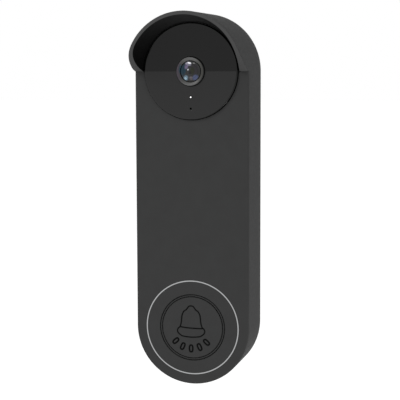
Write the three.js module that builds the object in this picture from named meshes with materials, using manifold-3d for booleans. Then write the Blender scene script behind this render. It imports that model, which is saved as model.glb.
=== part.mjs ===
// Battery video doorbell in a silicone sleeve with a rain hood, on its wall plate.
// Millimetres. The wall is the plane y = 0, the front faces -Y and +Z is up.
// The origin is the centre of the wall plate's back face.
import * as THREE from 'three';
import { mergeVertices } from 'three/addons/utils/BufferGeometryUtils.js';
import Module from 'manifold-3d';

const wasm = await Module();
wasm.setup();

// ---- Driving dimensions ----

// Outline: a pill, two half circles whose centres stand CENTRE_SPAN apart.
const BODY_RADIUS = 24.5;
const CENTRE_SPAN = 108.3;
const BODY_DEPTH = 24.2;

// Silicone sleeve and its hood.
const SLEEVE_WALL = 1.5;
const SLEEVE_EASE = 0.3;
const SLEEVE_EDGE = 0.8;
const WALL_GAP = 0.4;
const HOOD_REACH = 13.3;
const HOOD_RISE = 11.1;
const HOOD_CURVE = 0.77;
const HOOD_RIM = 1.5;
const HOOD_SETBACK = 0.6;

// Housing shells.
const HOUSING_WALL = 1.8;
const HOUSING_EDGE = 0.5;
const SKIRT = 3.0;
const BOSS_RADIUS = 2.3;

// Camera end.
const FACE_MARGIN = 4.5;
const WINDOW_THICK = 2.5;
const WINDOW_PROUD = 1.0;
const WINDOW_EDGE = 0.35;
const WINDOW_LEDGE = 2.5;
const LENS_BEZEL_RADIUS = 5.95;
const LENS_GLASS_RADIUS = 4.3;
const LENS_PROUD = 0.8;
const MIC_INSET = 2.1;
const PORT_RADIUS = 0.45;
const FILTER_TRAVEL = 7.2;

// Button end.
const RING_WIDTH = 0.85;
const RING_TO_PAD = 6.95;
const GROOVE_WIDTH = 1.25;
const WEB_THICK = 0.45;
const BUTTON_TRAVEL = 0.6;

// Wall plate, latch and the pieces at the back.
const PLATE_THICK = 3.4;
const PLATE_EASE = 1.2;
const PLATE_SCREW_RADIUS = 2.2;
const TONGUE_WIDTH = 12;
const LATCH_WIDTH = 8;
const LATCH_TRAVEL = 2.3;
const PIN_HOLE_RADIUS = 0.9;

// Clearances.
const SEAT = 0.05;
const SLIP = 0.15;
const ROOM = 0.3;

// Facets of a half circle on large and on small outlines.
const COARSE = 13;
const FINE = 6;

// ---- Places worked out from the dimensions ----

const END = CENTRE_SPAN / 2;
const FACE = -BODY_DEPTH;
const WINDOW_RADIUS = BODY_RADIUS - FACE_MARGIN;
const RING_RADIUS = BODY_RADIUS - FACE_MARGIN;
const PAD_RADIUS = RING_RADIUS - RING_TO_PAD;
const SLEEVE_BORE = BODY_RADIUS - SLEEVE_WALL;
const HOUSING_RADIUS = SLEEVE_BORE - SLEEVE_EASE;
const CAVITY_RADIUS = HOUSING_RADIUS - HOUSING_WALL;
const RECESS_RADIUS = HOUSING_RADIUS - SKIRT;
const PLATE_RADIUS = RECESS_RADIUS - ROOM;
const HOUSING_FACE = FACE + SLEEVE_WALL + SLEEVE_EASE;
const CAVITY_FRONT = HOUSING_FACE + HOUSING_WALL;
const FLOOR_BACK = -(PLATE_THICK + PLATE_EASE);
const FLOOR_FRONT = FLOOR_BACK - HOUSING_WALL;
const SKIRT_BACK = -2 * WALL_GAP;
const SPLIT = FLOOR_FRONT - 2.6;
const WINDOW_FRONT = FACE - WINDOW_PROUD;
const WINDOW_BACK = WINDOW_FRONT + WINDOW_THICK;
const APERTURE = WINDOW_RADIUS - WINDOW_LEDGE;
const MIC_DROP = APERTURE - MIC_INSET;
const STATUS_DROP = (LENS_BEZEL_RADIUS + MIC_DROP) / 2;

// Camera stack, front to back.
const CARRIER_FRONT = WINDOW_BACK + 2 * SEAT + 0.3;
const CARRIER_STEP = CAVITY_FRONT + SEAT;
const CARRIER_BACK = CARRIER_STEP + 0.9;
const LED_BOARD_FRONT = CARRIER_BACK + 0.8;
const LED_BOARD_THICK = 1.0;
const LED_BOARD_RADIUS = APERTURE - 0.7;
const SENSOR_BOARD_BACK = FLOOR_FRONT - 1.6;
const SENSOR_BOARD_FRONT = SENSOR_BOARD_BACK - 1.0;
const HOLDER_BACK = SENSOR_BOARD_FRONT - SEAT;
const HOLDER_FRONT = HOLDER_BACK - 4.4;
const BARREL_RADIUS = LENS_BEZEL_RADIUS - 0.55;
const BARREL_FRONT = WINDOW_FRONT + 1.3;
const BARREL_BACK = HOLDER_FRONT - SEAT;

// Boards, battery and button end.
const BOSS_X = CAVITY_RADIUS - 4.1;
const BOSS_Z = END - LED_BOARD_RADIUS - BOSS_RADIUS - 1.0;
const MAIN_FRONT = CAVITY_FRONT + 1.2;
const MAIN_BACK = MAIN_FRONT + 1.0;
const MAIN_HALF = BOSS_Z - BOSS_RADIUS - 0.9;
const BATTERY_HALF_X = CAVITY_RADIUS - 4.6;
const BATTERY_HALF_Z = MAIN_HALF - 2.9;
const TRAY_WALL = 0.9;
const TRAY_FLOOR_BACK = FLOOR_FRONT - 0.2;
const BATTERY_BACK = TRAY_FLOOR_BACK - TRAY_WALL - SEAT;
const BATTERY_FRONT = MAIN_BACK + 0.8;
const BUTTON_HOLE = PAD_RADIUS + GROOVE_WIDTH + 0.3;
const CAP_RADIUS = BUTTON_HOLE - ROOM;
const FLANGE_RADIUS = BUTTON_HOLE + 1.0;
const BUTTON_BOARD_FRONT = CAVITY_FRONT + 2.2;
const BUTTON_BOARD_BACK = BUTTON_BOARD_FRONT + 1.0;
const BUTTON_BOARD_RADIUS = CAVITY_RADIUS - 0.6;
const POWER_FRONT = FLOOR_FRONT - 6.6;
const POWER_BACK = POWER_FRONT + 1.0;
const POWER_TOP = -BATTERY_HALF_Z - 2.2;
const USB_Z = POWER_TOP - 2.8;
const TERMINAL_Z = USB_Z - 5;
const POWER_HALF_X = CAVITY_RADIUS - 7.5;
const TERMINAL_X = POWER_HALF_X - 5.4;
const RESET_X = POWER_HALF_X - 2.4;
const RESET_Z = TERMINAL_Z - 9;

// Latch: its channel runs down the floor's back to the pin hole in the lower end.
const LATCH_PIN_Y = FLOOR_BACK - 0.6;
const HOOK_TOP = TERMINAL_Z - 7.8;
const HOOK_LOW = HOOK_TOP - 4;
const CATCH_Z = HOOK_LOW - 0.2;
const LATCH_LOW = -END - RECESS_RADIUS + 1.9;
const SPRING_LOW = HOOK_TOP + ROOM;
const SPRING_TOP = TERMINAL_Z - 2.3;

// ---- Shapes, seen from the front: X to the right, Z up ----

function pill(radius) {
  const shape = new THREE.Shape();
  shape.absarc(0, END, radius, 0, Math.PI, false);
  shape.absarc(0, -END, radius, Math.PI, 2 * Math.PI, false);
  shape.closePath();
  return shape;
}

function rectangle(x0, x1, z0, z1) {
  const corners = [[x0, z0], [x1, z0], [x1, z1], [x0, z1]];
  return new THREE.Shape(corners.map(([x, z]) => new THREE.Vector2(x, z)));
}

function rounded(x0, x1, z0, z1, radius) {
  const shape = new THREE.Shape();
  shape.absarc(x1 - radius, z1 - radius, radius, 0, Math.PI / 2, false);
  shape.absarc(x0 + radius, z1 - radius, radius, Math.PI / 2, Math.PI, false);
  shape.absarc(x0 + radius, z0 + radius, radius, Math.PI, 1.5 * Math.PI, false);
  shape.absarc(x1 - radius, z0 + radius, radius, 1.5 * Math.PI, 2 * Math.PI, false);
  shape.closePath();
  return shape;
}

function arcBand(inner, outer, z, from, to) {
  const shape = new THREE.Shape();
  shape.absarc(0, z, outer, from, to, false);
  shape.absarc(0, z, inner, to, from, true);
  shape.closePath();
  return shape;
}

// ---- Solids ----

// A closed geometry as a solid: shared vertices merged, faces turned outwards.
function solid(geometry) {
  const bare = geometry.clone();
  bare.deleteAttribute('normal');
  bare.deleteAttribute('uv');
  const merged = mergeVertices(bare, 1e-4);
  const place = merged.attributes.position;
  const corner = (index) => new THREE.Vector3().fromBufferAttribute(place, index);
  const triangles = [];
  let volume = 0;
  for (let i = 0; i < merged.index.count; i += 3) {
    const [a, b, c] = [0, 1, 2].map((k) => merged.index.getX(i + k));
    if (a === b || b === c || c === a) continue;
    triangles.push(a, b, c);
    volume += corner(a).dot(corner(b).cross(corner(c)));
  }
  if (volume < 0) triangles.reverse();
  const vertProperties = Float32Array.from(place.array);
  const triVerts = Uint32Array.from(triangles);
  return new wasm.Manifold(new wasm.Mesh({ numProp: 3, vertProperties, triVerts }));
}

function cut(body, ...tools) {
  return tools.reduce((rest, tool) => rest.subtract(tool), body);
}

function join(...bodies) {
  return bodies.reduce((whole, next) => whole.add(next));
}

// A shape drawn in X and Z, made solid from y = front to y = back.
function slab(shape, front, back, facets = COARSE) {
  const depth = back - front;
  const geometry = new THREE.ExtrudeGeometry(shape, { depth, bevelEnabled: false, curveSegments: facets });
  geometry.rotateX(Math.PI / 2);
  geometry.translate(0, back, 0);
  return solid(geometry);
}

// The same with the front edge rounded by edge.
function softSlab(shape, front, back, edge, steps = 2) {
  const depth = back - front - edge;
  const geometry = new THREE.ExtrudeGeometry(shape, {
    depth, bevelThickness: edge, bevelSize: edge, bevelOffset: -edge, bevelSegments: steps,
    curveSegments: COARSE,
  });
  geometry.rotateX(Math.PI / 2);
  geometry.translate(0, back, 0);
  const behind = slab(pill(BODY_RADIUS * 2), back, back + BODY_DEPTH);
  return cut(solid(geometry), behind);
}

// A shape drawn in Y and Z, made solid from x0 to x1.
function sideSlab(shape, x0, x1) {
  const geometry = new THREE.ExtrudeGeometry(shape, { depth: x1 - x0, bevelEnabled: false });
  const turn = new THREE.Matrix4().makeBasis(
    new THREE.Vector3(0, 1, 0), new THREE.Vector3(0, 0, 1), new THREE.Vector3(1, 0, 0));
  geometry.applyMatrix4(turn);
  geometry.translate(x0, 0, 0);
  return solid(geometry);
}

function block(x0, x1, y0, y1, z0, z1) {
  const geometry = new THREE.BoxGeometry(x1 - x0, y1 - y0, z1 - z0);
  geometry.translate((x0 + x1) / 2, (y0 + y1) / 2, (z0 + z1) / 2);
  return solid(geometry);
}

// A [radius, y] profile turned about the line through (x, z) along Y.
function turned(profile, x = 0, z = 0, facets = 2 * FINE) {
  const points = profile.map(([radius, y]) => new THREE.Vector2(radius, y));
  const geometry = new THREE.LatheGeometry(points, facets);
  geometry.translate(x, 0, z);
  return solid(geometry);
}

function rod(radius, front, back, x = 0, z = 0, facets = 2 * FINE) {
  return turned([[0, front], [radius, front], [radius, back], [0, back]], x, z, facets);
}

function tube(inner, outer, front, back, x = 0, z = 0, facets = 4 * FINE) {
  return turned([[inner, front], [outer, front], [outer, back], [inner, back], [inner, front]],
    x, z, facets);
}

// A round rod that stands along Z.
function post(radius, z0, z1, x, y) {
  const geometry = new THREE.CylinderGeometry(radius, radius, z1 - z0, 2 * FINE);
  geometry.rotateX(Math.PI / 2);
  geometry.translate(x, y, (z0 + z1) / 2);
  return solid(geometry);
}

const doorbell = new THREE.Group();

function piece(name, body, color, roughness, metalness = 0) {
  const mesh = body.getMesh();
  const geometry = new THREE.BufferGeometry();
  geometry.setAttribute('position', new THREE.BufferAttribute(mesh.vertProperties, 3));
  geometry.setIndex(new THREE.BufferAttribute(mesh.triVerts, 1));
  geometry.computeVertexNormals();
  const material = new THREE.MeshStandardMaterial({ color, roughness, metalness });
  const node = new THREE.Mesh(geometry, material);
  node.name = name;
  doorbell.add(node);
}

const SILICONE = 0x3b3b3c;
const BLACK_PLASTIC = 0x1c1d1f;
const GREY_PLASTIC = 0x4a4c4f;
const WHITE_PLASTIC = 0xd9dbdc;
const STEEL = 0xa9acb0;
const BRASS = 0xb08d4a;
const BOARD_GREEN = 0x1f5a3a;
const AMBER_FILM = 0xa8641e;
const RUBBER = 0x242526;

// ---- Sleeve: one silicone moulding with a hood over the camera ----

const SOUND_HALF = 9;
const SOUND_FRONT = SPLIT - 7.3;
const SOUND_BACK = SPLIT - 1.3;

// Side view of the space the hood fills: it swells forward from the camera's centre line.
function hoodProfile() {
  const steps = 14;
  const root = FACE + SLEEVE_EDGE;
  const top = END + BODY_RADIUS + 1;
  const points = [new THREE.Vector2(root, END), new THREE.Vector2(FACE, END)];
  for (let i = 1; i <= steps; i += 1) {
    const rise = i / steps;
    const reach = HOOD_REACH * Math.sin((Math.PI / 2) * rise ** HOOD_CURVE);
    points.push(new THREE.Vector2(FACE - reach, END + HOOD_RISE * rise));
  }
  points.push(new THREE.Vector2(FACE - HOOD_REACH, top), new THREE.Vector2(root, top));
  return new THREE.Shape(points);
}

function hood() {
  const foot = WINDOW_RADIUS + HOOD_SETBACK;
  const rim = BODY_RADIUS - HOOD_RIM;
  const slope = (rim - foot) / HOOD_REACH;
  const root = FACE + SLEEVE_EDGE;
  const mouth = FACE - HOOD_REACH - 1;
  const shell = turned([
    [foot - slope * SLEEVE_EDGE, root], [BODY_RADIUS, root], [BODY_RADIUS, mouth],
    [rim + slope, mouth], [foot - slope * SLEEVE_EDGE, root],
  ], 0, END, 4 * COARSE);
  return shell.intersect(sideSlab(hoodProfile(), -2 * BODY_RADIUS, 2 * BODY_RADIUS));
}

const sleeveShell = cut(
  softSlab(pill(BODY_RADIUS), FACE, -WALL_GAP, SLEEVE_EDGE),
  slab(pill(SLEEVE_BORE), FACE + SLEEVE_WALL, 1));
const sleeveLowEnd = -END - BODY_RADIUS;
const sleeveHoles = [
  rod(WINDOW_RADIUS + ROOM, FACE - 1, HOUSING_FACE, 0, END, 4 * COARSE),
  rod(RING_RADIUS + RING_WIDTH / 2 + SEAT, FACE - 1, HOUSING_FACE, 0, -END, 4 * COARSE),
  block(-SOUND_HALF, SOUND_HALF, SOUND_FRONT, SOUND_BACK, sleeveLowEnd - 1, sleeveLowEnd + 4),
  post(PIN_HOLE_RADIUS + SLIP, sleeveLowEnd - 1, sleeveLowEnd + 3, 0, LATCH_PIN_Y),
];
piece('sleeve_with_hood', join(cut(sleeveShell, ...sleeveHoles), hood()), SILICONE, 0.7);

// The translucent ring and the dark centre are bonded into the sleeve's face.
const sleeveBack = FACE + SLEEVE_WALL;
piece('light_ring_inlay', tube(RING_RADIUS - RING_WIDTH / 2, RING_RADIUS + RING_WIDTH / 2,
  FACE, sleeveBack, 0, -END, 4 * COARSE), 0xbfc1c2, 0.4);
const surroundOuter = RING_RADIUS - RING_WIDTH / 2 - SEAT;
const grooveOuter = PAD_RADIUS + GROOVE_WIDTH;
piece('button_surround', turned([
  [grooveOuter, FACE], [surroundOuter, FACE], [surroundOuter, sleeveBack],
  [PAD_RADIUS + SLIP, sleeveBack], [PAD_RADIUS + SLIP, sleeveBack - WEB_THICK],
  [grooveOuter, sleeveBack - WEB_THICK], [grooveOuter, FACE],
], 0, -END, 4 * COARSE), SILICONE, 0.7);
piece('button_pad', rod(PAD_RADIUS, FACE, sleeveBack, 0, -END, 3 * COARSE), SILICONE, 0.7);

// ---- Housing: front shell, rear shell, gasket and screws ----

const BOSSES = [[-BOSS_X, BOSS_Z], [BOSS_X, BOSS_Z], [-BOSS_X, -BOSS_Z], [BOSS_X, -BOSS_Z]];
const GUIDE_HALF = 0.6;
const GUIDE_DEPTH = 0.85;
const LEG_HALF = 0.4;
const LEG_TURN = Math.PI / 3;
const LEG_STARTS = [0, 1, 2, 3].map((quarter) => (Math.PI / 2) * quarter + Math.PI / 12);

const frontShell = cut(
  softSlab(pill(HOUSING_RADIUS), HOUSING_FACE, SPLIT, HOUSING_EDGE, 1),
  slab(pill(CAVITY_RADIUS), CAVITY_FRONT, SPLIT + 1));
const frontBosses = BOSSES.map(([x, z]) => rod(BOSS_RADIUS, CAVITY_FRONT - 0.5, SPLIT, x, z));
const SLOT_PITCH = 3;
const soundSlots = [-2, -1, 0, 1, 2].map((k) => block(
  k * SLOT_PITCH - 0.7, k * SLOT_PITCH + 0.7, SOUND_FRONT + 0.8, SOUND_BACK - 0.5,
  -END - HOUSING_RADIUS - 1, -END - CAVITY_RADIUS + 2));
const frontCuts = [
  rod(APERTURE, HOUSING_FACE - 1, CAVITY_FRONT + 1, 0, END, 3 * COARSE),
  rod(BUTTON_HOLE, HOUSING_FACE - 1, CAVITY_FRONT + 1, 0, -END, 3 * COARSE),
  tube(RING_RADIUS - GUIDE_HALF - SEAT * 2, RING_RADIUS + GUIDE_HALF + SEAT * 2,
    HOUSING_FACE - 1, HOUSING_FACE + GUIDE_DEPTH + SEAT, 0, -END, 4 * COARSE),
  ...LEG_STARTS.map((start) => slab(arcBand(
    RING_RADIUS - LEG_HALF - SLIP, RING_RADIUS + LEG_HALF + SLIP, -END,
    start - 0.02, start + LEG_TURN + 0.02), HOUSING_FACE, CAVITY_FRONT + 0.5, FINE)),
  ...BOSSES.map(([x, z]) => rod(1.2, SPLIT - 7, SPLIT + 1, x, z)),
  ...soundSlots,
];
piece('front_housing', cut(join(frontShell, ...frontBosses), ...frontCuts), GREY_PLASTIC, 0.5);

const GASKET_FRONT = SPLIT + SEAT;
const GASKET_DEPTH = 0.8;
const gasketRadius = HOUSING_RADIUS - HOUSING_WALL / 2 - 0.35;
const rearTop = GASKET_FRONT;
const rearShell = cut(
  slab(pill(HOUSING_RADIUS), rearTop, SKIRT_BACK),
  slab(pill(CAVITY_RADIUS), rearTop - 1, FLOOR_FRONT),
  slab(pill(RECESS_RADIUS), FLOOR_BACK, SKIRT_BACK + 1));
const rearBosses = BOSSES.map(([x, z]) => rod(BOSS_RADIUS, rearTop, FLOOR_FRONT + 0.5, x, z));
const gasketGroove = cut(
  slab(pill(gasketRadius + 0.6 + SEAT), rearTop - 1, rearTop + GASKET_DEPTH + SEAT),
  slab(pill(gasketRadius - SEAT), rearTop - 2, rearTop + GASKET_DEPTH + 1));
const channelHalf = LATCH_WIDTH / 2 + 0.2;
const channelFront = FLOOR_BACK - 1.2;
const slotTop = END + RECESS_RADIUS + 2.0;
const rearCuts = [
  gasketGroove,
  block(-channelHalf, channelHalf, channelFront, FLOOR_BACK + 1, LATCH_LOW - 0.4, SPRING_TOP + 0.2),
  post(PIN_HOLE_RADIUS, -END - HOUSING_RADIUS - 1, LATCH_LOW, 0, LATCH_PIN_Y),
  block(-TONGUE_WIDTH / 2 - ROOM, TONGUE_WIDTH / 2 + ROOM, -3.5, -1.6, END, slotTop),
  block(-4.8, 4.8, FLOOR_FRONT - 1, FLOOR_BACK + 1, USB_Z - 1.8, USB_Z + 1.8),
  rod(2.2, FLOOR_FRONT - 1, FLOOR_BACK + 1, RESET_X, RESET_Z),
  ...[-1, 1].map((side) => rod(1.6, FLOOR_FRONT - 1, FLOOR_BACK + 1, side * TERMINAL_X, TERMINAL_Z)),
  ...BOSSES.map(([x, z]) => rod(1.3, rearTop - 1, FLOOR_BACK + 1, x, z)),
];
piece('rear_housing', cut(join(rearShell, ...rearBosses), ...rearCuts), GREY_PLASTIC, 0.55);

piece('housing_gasket', cut(
  slab(pill(gasketRadius + 0.6 - SEAT), rearTop + SEAT, rearTop + GASKET_DEPTH),
  slab(pill(gasketRadius + SEAT), rearTop - 1, rearTop + 2)), RUBBER, 0.8);

// A cross-recessed screw, head towards the wall.
function screw(headRadius, headBack, headHeight, shankRadius, shankFront, x, z) {
  const headFront = headBack - headHeight;
  const body = turned([
    [0, shankFront], [shankRadius, shankFront + 0.4], [shankRadius, headFront],
    [headRadius, headFront], [headRadius, headBack - 0.25], [headRadius - 0.3, headBack],
    [0, headBack],
  ], x, z, 2 * FINE);
  const recess = headRadius * 0.55;
  const groove = 0.25;
  const depth = headBack - headHeight * 0.6;
  return cut(body,
    block(x - recess, x + recess, depth, headBack + 1, z - groove, z + groove),
    block(x - groove, x + groove, depth, headBack + 1, z - recess, z + recess));
}

BOSSES.forEach(([x, z], index) => {
  piece(`case_screw_${index + 1}`,
    screw(1.9, FLOOR_BACK + SEAT + 0.85, 0.85, 1.0, SPLIT - 6.5, x, z), STEEL, 0.35, 1);
});

// ---- Camera window and lens ----

const LENS_HOLE = LENS_BEZEL_RADIUS + 0.2;
const windowDisc = turned([
  [0, WINDOW_FRONT], [WINDOW_RADIUS - WINDOW_EDGE, WINDOW_FRONT],
  [WINDOW_RADIUS, WINDOW_FRONT + WINDOW_EDGE], [WINDOW_RADIUS, WINDOW_BACK], [0, WINDOW_BACK],
], 0, END, 4 * COARSE);
piece('camera_window', cut(windowDisc,
  rod(LENS_HOLE, WINDOW_FRONT - 1, WINDOW_BACK + 1, 0, END, 4 * FINE),
  rod(PORT_RADIUS + SLIP, WINDOW_FRONT - 1, WINDOW_BACK + 1, 0, END - STATUS_DROP, 12),
  rod(PORT_RADIUS, WINDOW_FRONT - 1, WINDOW_BACK + 1, 0, END - MIC_DROP, 12)), 0x1d1e20, 0.12);
piece('window_adhesive', tube(APERTURE + 0.2, WINDOW_RADIUS - 0.3, WINDOW_BACK + SEAT,
  HOUSING_FACE - SEAT, 0, END, 3 * COARSE), 0x101010, 0.6);

const bezelFront = WINDOW_FRONT - LENS_PROUD;
const glassEdge = WINDOW_FRONT - 0.1;
piece('lens_bezel', turned([
  [LENS_GLASS_RADIUS + SLIP, glassEdge], [LENS_BEZEL_RADIUS - 0.5, bezelFront],
  [LENS_BEZEL_RADIUS, bezelFront + 0.3], [LENS_BEZEL_RADIUS, BARREL_FRONT - SEAT],
  [LENS_GLASS_RADIUS + SLIP, BARREL_FRONT - SEAT], [LENS_GLASS_RADIUS + SLIP, glassEdge],
], 0, END, 4 * FINE), 0x6d6f70, 0.35, 0.6);

// A dome of glass: a spherical cap of the given rise on a flat-backed disc.
function lensElement(radius, rise, edgeFront, back) {
  const steps = 4;
  const profile = [];
  for (let i = 0; i <= steps; i += 1) {
    const r = (radius * i) / steps;
    profile.push([r, edgeFront - rise * (1 - (r / radius) ** 2)]);
  }
  profile.push([radius, back], [0, back]);
  return turned(profile, 0, END, 3 * FINE);
}

piece('lens_front_element', lensElement(LENS_GLASS_RADIUS, 0.75, glassEdge + 0.1,
  BARREL_FRONT - SEAT), 0x5f86b8, 0.05);
const LENS_BORE = 3.7;
piece('lens_barrel', turned([
  [LENS_BORE, BARREL_FRONT], [BARREL_RADIUS, BARREL_FRONT], [BARREL_RADIUS, BARREL_BACK],
  [LENS_BORE - 0.7, BARREL_BACK], [LENS_BORE - 0.7, BARREL_BACK - 1.0],
  [LENS_BORE, BARREL_BACK - 1.0], [LENS_BORE, BARREL_FRONT],
], 0, END, 4 * FINE), BLACK_PLASTIC, 0.4);
piece('lens_inner_element', lensElement(LENS_BORE - 0.1, 0.7, BARREL_BACK - 3.2,
  BARREL_BACK - 1.1), 0x9fb4c8, 0.05);

// The holder has a collar for the barrel, a square bore and a slot across it for the filter.
const holderHalfX = 8.5;
const holderHalfZ = 7;
const slotFront = HOLDER_FRONT + 1.1;
const slotBack = slotFront + 1.2;
piece('lens_holder', cut(
  join(
    block(-holderHalfX, holderHalfX, HOLDER_FRONT, HOLDER_BACK, END - holderHalfZ, END + holderHalfZ),
    rod(BARREL_RADIUS + 1.6, HOLDER_FRONT - 2, HOLDER_FRONT + 0.3, 0, END, 4 * FINE)),
  rod(BARREL_RADIUS + 0.2, HOLDER_FRONT - 3, HOLDER_FRONT, 0, END, 4 * FINE),
  block(-3.7, 3.7, HOLDER_FRONT - 1, HOLDER_BACK + 1, END - 3.2, END + 3.2),
  block(-holderHalfX - 1, holderHalfX + 1, slotFront, slotBack, END - 4, END + 4)),
BLACK_PLASTIC, 0.5);

const carriageFront = slotFront + 0.2;
const carriageBack = slotBack - 0.2;
const pane = 2.9;
const paneCentres = [0, FILTER_TRAVEL];
piece('filter_carriage', cut(
  block(-3.6, FILTER_TRAVEL + 3.6, carriageFront, carriageBack, END - 3.7, END + 3.7),
  ...paneCentres.map((x) => block(x - pane, x + pane, carriageFront - 1, carriageBack + 1,
    END - pane, END + pane))), BLACK_PLASTIC, 0.5);
['ir_cut_glass', 'clear_glass'].forEach((name, index) => {
  const x = paneCentres[index];
  const half = pane - SEAT;
  piece(name, block(x - half, x + half, carriageFront + 0.15, carriageBack - 0.15,
    END - half, END + half), index === 0 ? 0x6fb7c9 : 0xdfe8ea, 0.05);
});

piece('image_sensor', block(-3.2, 3.2, SENSOR_BOARD_FRONT - 0.9, SENSOR_BOARD_FRONT - SEAT,
  END - 2.7, END + 2.7), 0x2b2440, 0.2);
piece('sensor_board', slab(rounded(-9, 9, END - 8, END + 8, 1),
  SENSOR_BOARD_FRONT, SENSOR_BOARD_BACK, 3), BOARD_GREEN, 0.5);

// ---- Camera carrier and the board behind the window ----

const IR_LED_SPREAD = (APERTURE + BARREL_RADIUS) / 2;
const IR_LED_PLACES = [45, 135, 225, 315].map((degrees) => {
  const turn = THREE.MathUtils.degToRad(degrees);
  return [IR_LED_SPREAD * Math.cos(turn), END + IR_LED_SPREAD * Math.sin(turn)];
});
const LED_RADIUS = 1.6;
const carrierPosts = [90, 210, 330].map((degrees) => {
  const turn = THREE.MathUtils.degToRad(degrees);
  const reach = LED_BOARD_RADIUS - 1.6;
  return rod(1.0, CARRIER_BACK - 0.3, LED_BOARD_FRONT - SEAT,
    reach * Math.cos(turn), END + reach * Math.sin(turn), FINE);
});
piece('camera_carrier', cut(
  join(
    rod(APERTURE - ROOM, CARRIER_FRONT, CARRIER_STEP + 0.1, 0, END, 3 * COARSE),
    rod(APERTURE + 1.6, CARRIER_STEP, CARRIER_BACK, 0, END, 3 * COARSE), ...carrierPosts),
  rod(BARREL_RADIUS + ROOM, CARRIER_FRONT - 1, LED_BOARD_FRONT, 0, END, 4 * FINE),
  rod(0.8, CARRIER_FRONT - 1, LED_BOARD_FRONT, 0, END - STATUS_DROP, 12),
  rod(1.7, CARRIER_FRONT - 1, LED_BOARD_FRONT, 0, END - MIC_DROP, 12),
  ...IR_LED_PLACES.map(([x, z]) => rod(LED_RADIUS + ROOM, CARRIER_FRONT - 1,
    LED_BOARD_FRONT, x, z))), BLACK_PLASTIC, 0.6);

const LED_BOARD_BACK = LED_BOARD_FRONT + LED_BOARD_THICK;
piece('led_board', cut(
  rod(LED_BOARD_RADIUS, LED_BOARD_FRONT, LED_BOARD_BACK, 0, END, 3 * COARSE),
  rod(BARREL_RADIUS + 2.2, LED_BOARD_FRONT - 1, LED_BOARD_BACK + 1, 0, END, 4 * FINE)),
BOARD_GREEN, 0.5);
IR_LED_PLACES.forEach(([x, z], index) => {
  piece(`ir_led_${index + 1}`, turned([
    [0, CARRIER_FRONT + 0.4], [0.8, CARRIER_FRONT + 0.55], [1.3, CARRIER_FRONT + 1.0],
    [1.3, LED_BOARD_FRONT - 0.8], [LED_RADIUS, LED_BOARD_FRONT - 0.8],
    [LED_RADIUS, LED_BOARD_FRONT - SEAT], [0, LED_BOARD_FRONT - SEAT],
  ], x, z, 12), 0x2a2430, 0.15);
});

const statusZ = END - STATUS_DROP;
const statusTop = LED_BOARD_FRONT - 0.7;
piece('status_led', block(-0.8, 0.8, statusTop, LED_BOARD_FRONT - SEAT,
  statusZ - 0.8, statusZ + 0.8), 0xf2f4f4, 0.3);
piece('status_light_pipe', rod(PORT_RADIUS, WINDOW_FRONT, statusTop - SEAT, 0, statusZ, 12),
  0xf4f6f6, 0.15);

const micZ = END - MIC_DROP;
piece('microphone', block(-1.4, 1.4, statusTop, LED_BOARD_FRONT - SEAT, micZ - 1.1, micZ + 1.1),
  STEEL, 0.35, 1);
piece('mic_boot', tube(0.6, 1.45, WINDOW_BACK + SEAT, statusTop - SEAT, 0, micZ, 12), RUBBER, 0.8);

// ---- Button: cap, light guide, switch and board ----

const capBack = HOUSING_FACE + 1.6;
const flangeBack = CAVITY_FRONT + SLIP + 0.8;
const plungerBack = BUTTON_BOARD_FRONT - 0.85 - BUTTON_TRAVEL - SLIP;
piece('button_cap', turned([
  [0, HOUSING_FACE], [CAP_RADIUS - 0.4, HOUSING_FACE], [CAP_RADIUS, HOUSING_FACE + 0.4],
  [CAP_RADIUS, CAVITY_FRONT + SLIP], [FLANGE_RADIUS, CAVITY_FRONT + SLIP],
  [FLANGE_RADIUS, flangeBack], [CAP_RADIUS - 1.2, flangeBack], [CAP_RADIUS - 1.2, capBack],
  [2.0, capBack], [2.0, plungerBack], [0, plungerBack],
], 0, -END, 3 * COARSE), WHITE_PLASTIC, 0.4);

piece('light_guide_ring', join(
  tube(RING_RADIUS - GUIDE_HALF, RING_RADIUS + GUIDE_HALF, HOUSING_FACE,
    HOUSING_FACE + GUIDE_DEPTH, 0, -END, 4 * COARSE),
  ...LEG_STARTS.map((start) => slab(arcBand(RING_RADIUS - LEG_HALF, RING_RADIUS + LEG_HALF,
    -END, start, start + LEG_TURN), HOUSING_FACE + 0.4, CAVITY_FRONT + 1, FINE))),
0xe8eaea, 0.2);

piece('dome_switch', turned([
  [0, BUTTON_BOARD_FRONT - 0.85], [1.4, BUTTON_BOARD_FRONT - 0.75], [2.4, BUTTON_BOARD_FRONT - 0.4],
  [2.6, BUTTON_BOARD_FRONT - SEAT], [0, BUTTON_BOARD_FRONT - SEAT],
], 0, -END, 2 * FINE), STEEL, 0.3, 1);
piece('button_board', rod(BUTTON_BOARD_RADIUS, BUTTON_BOARD_FRONT, BUTTON_BOARD_BACK,
  0, -END, 3 * COARSE), BOARD_GREEN, 0.5);

// ---- Main board, battery and cables ----

const mainHalfX = CAVITY_RADIUS - 3.1;
const TONGUE_HALF = BOSS_X - BOSS_RADIUS - 3;
piece('main_board', join(
  slab(rounded(-mainHalfX, mainHalfX, -MAIN_HALF, MAIN_HALF, 1.5), MAIN_FRONT, MAIN_BACK, 3),
  block(-TONGUE_HALF, TONGUE_HALF, MAIN_FRONT, MAIN_BACK, MAIN_HALF - 1, BOSS_Z + 1.6)),
BOARD_GREEN, 0.5);
const shieldTop = MAIN_HALF - 10.8;
piece('rf_shield', softBlock(-12, 12, MAIN_FRONT - 1.05, MAIN_FRONT - SEAT, shieldTop - 24, shieldTop),
  STEEL, 0.35, 1);
piece('wifi_antenna', block(-TONGUE_HALF + 0.5, -1, MAIN_FRONT - 0.5, MAIN_FRONT - SEAT,
  MAIN_HALF - 2, BOSS_Z + 0.6), AMBER_FILM, 0.4);

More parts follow.
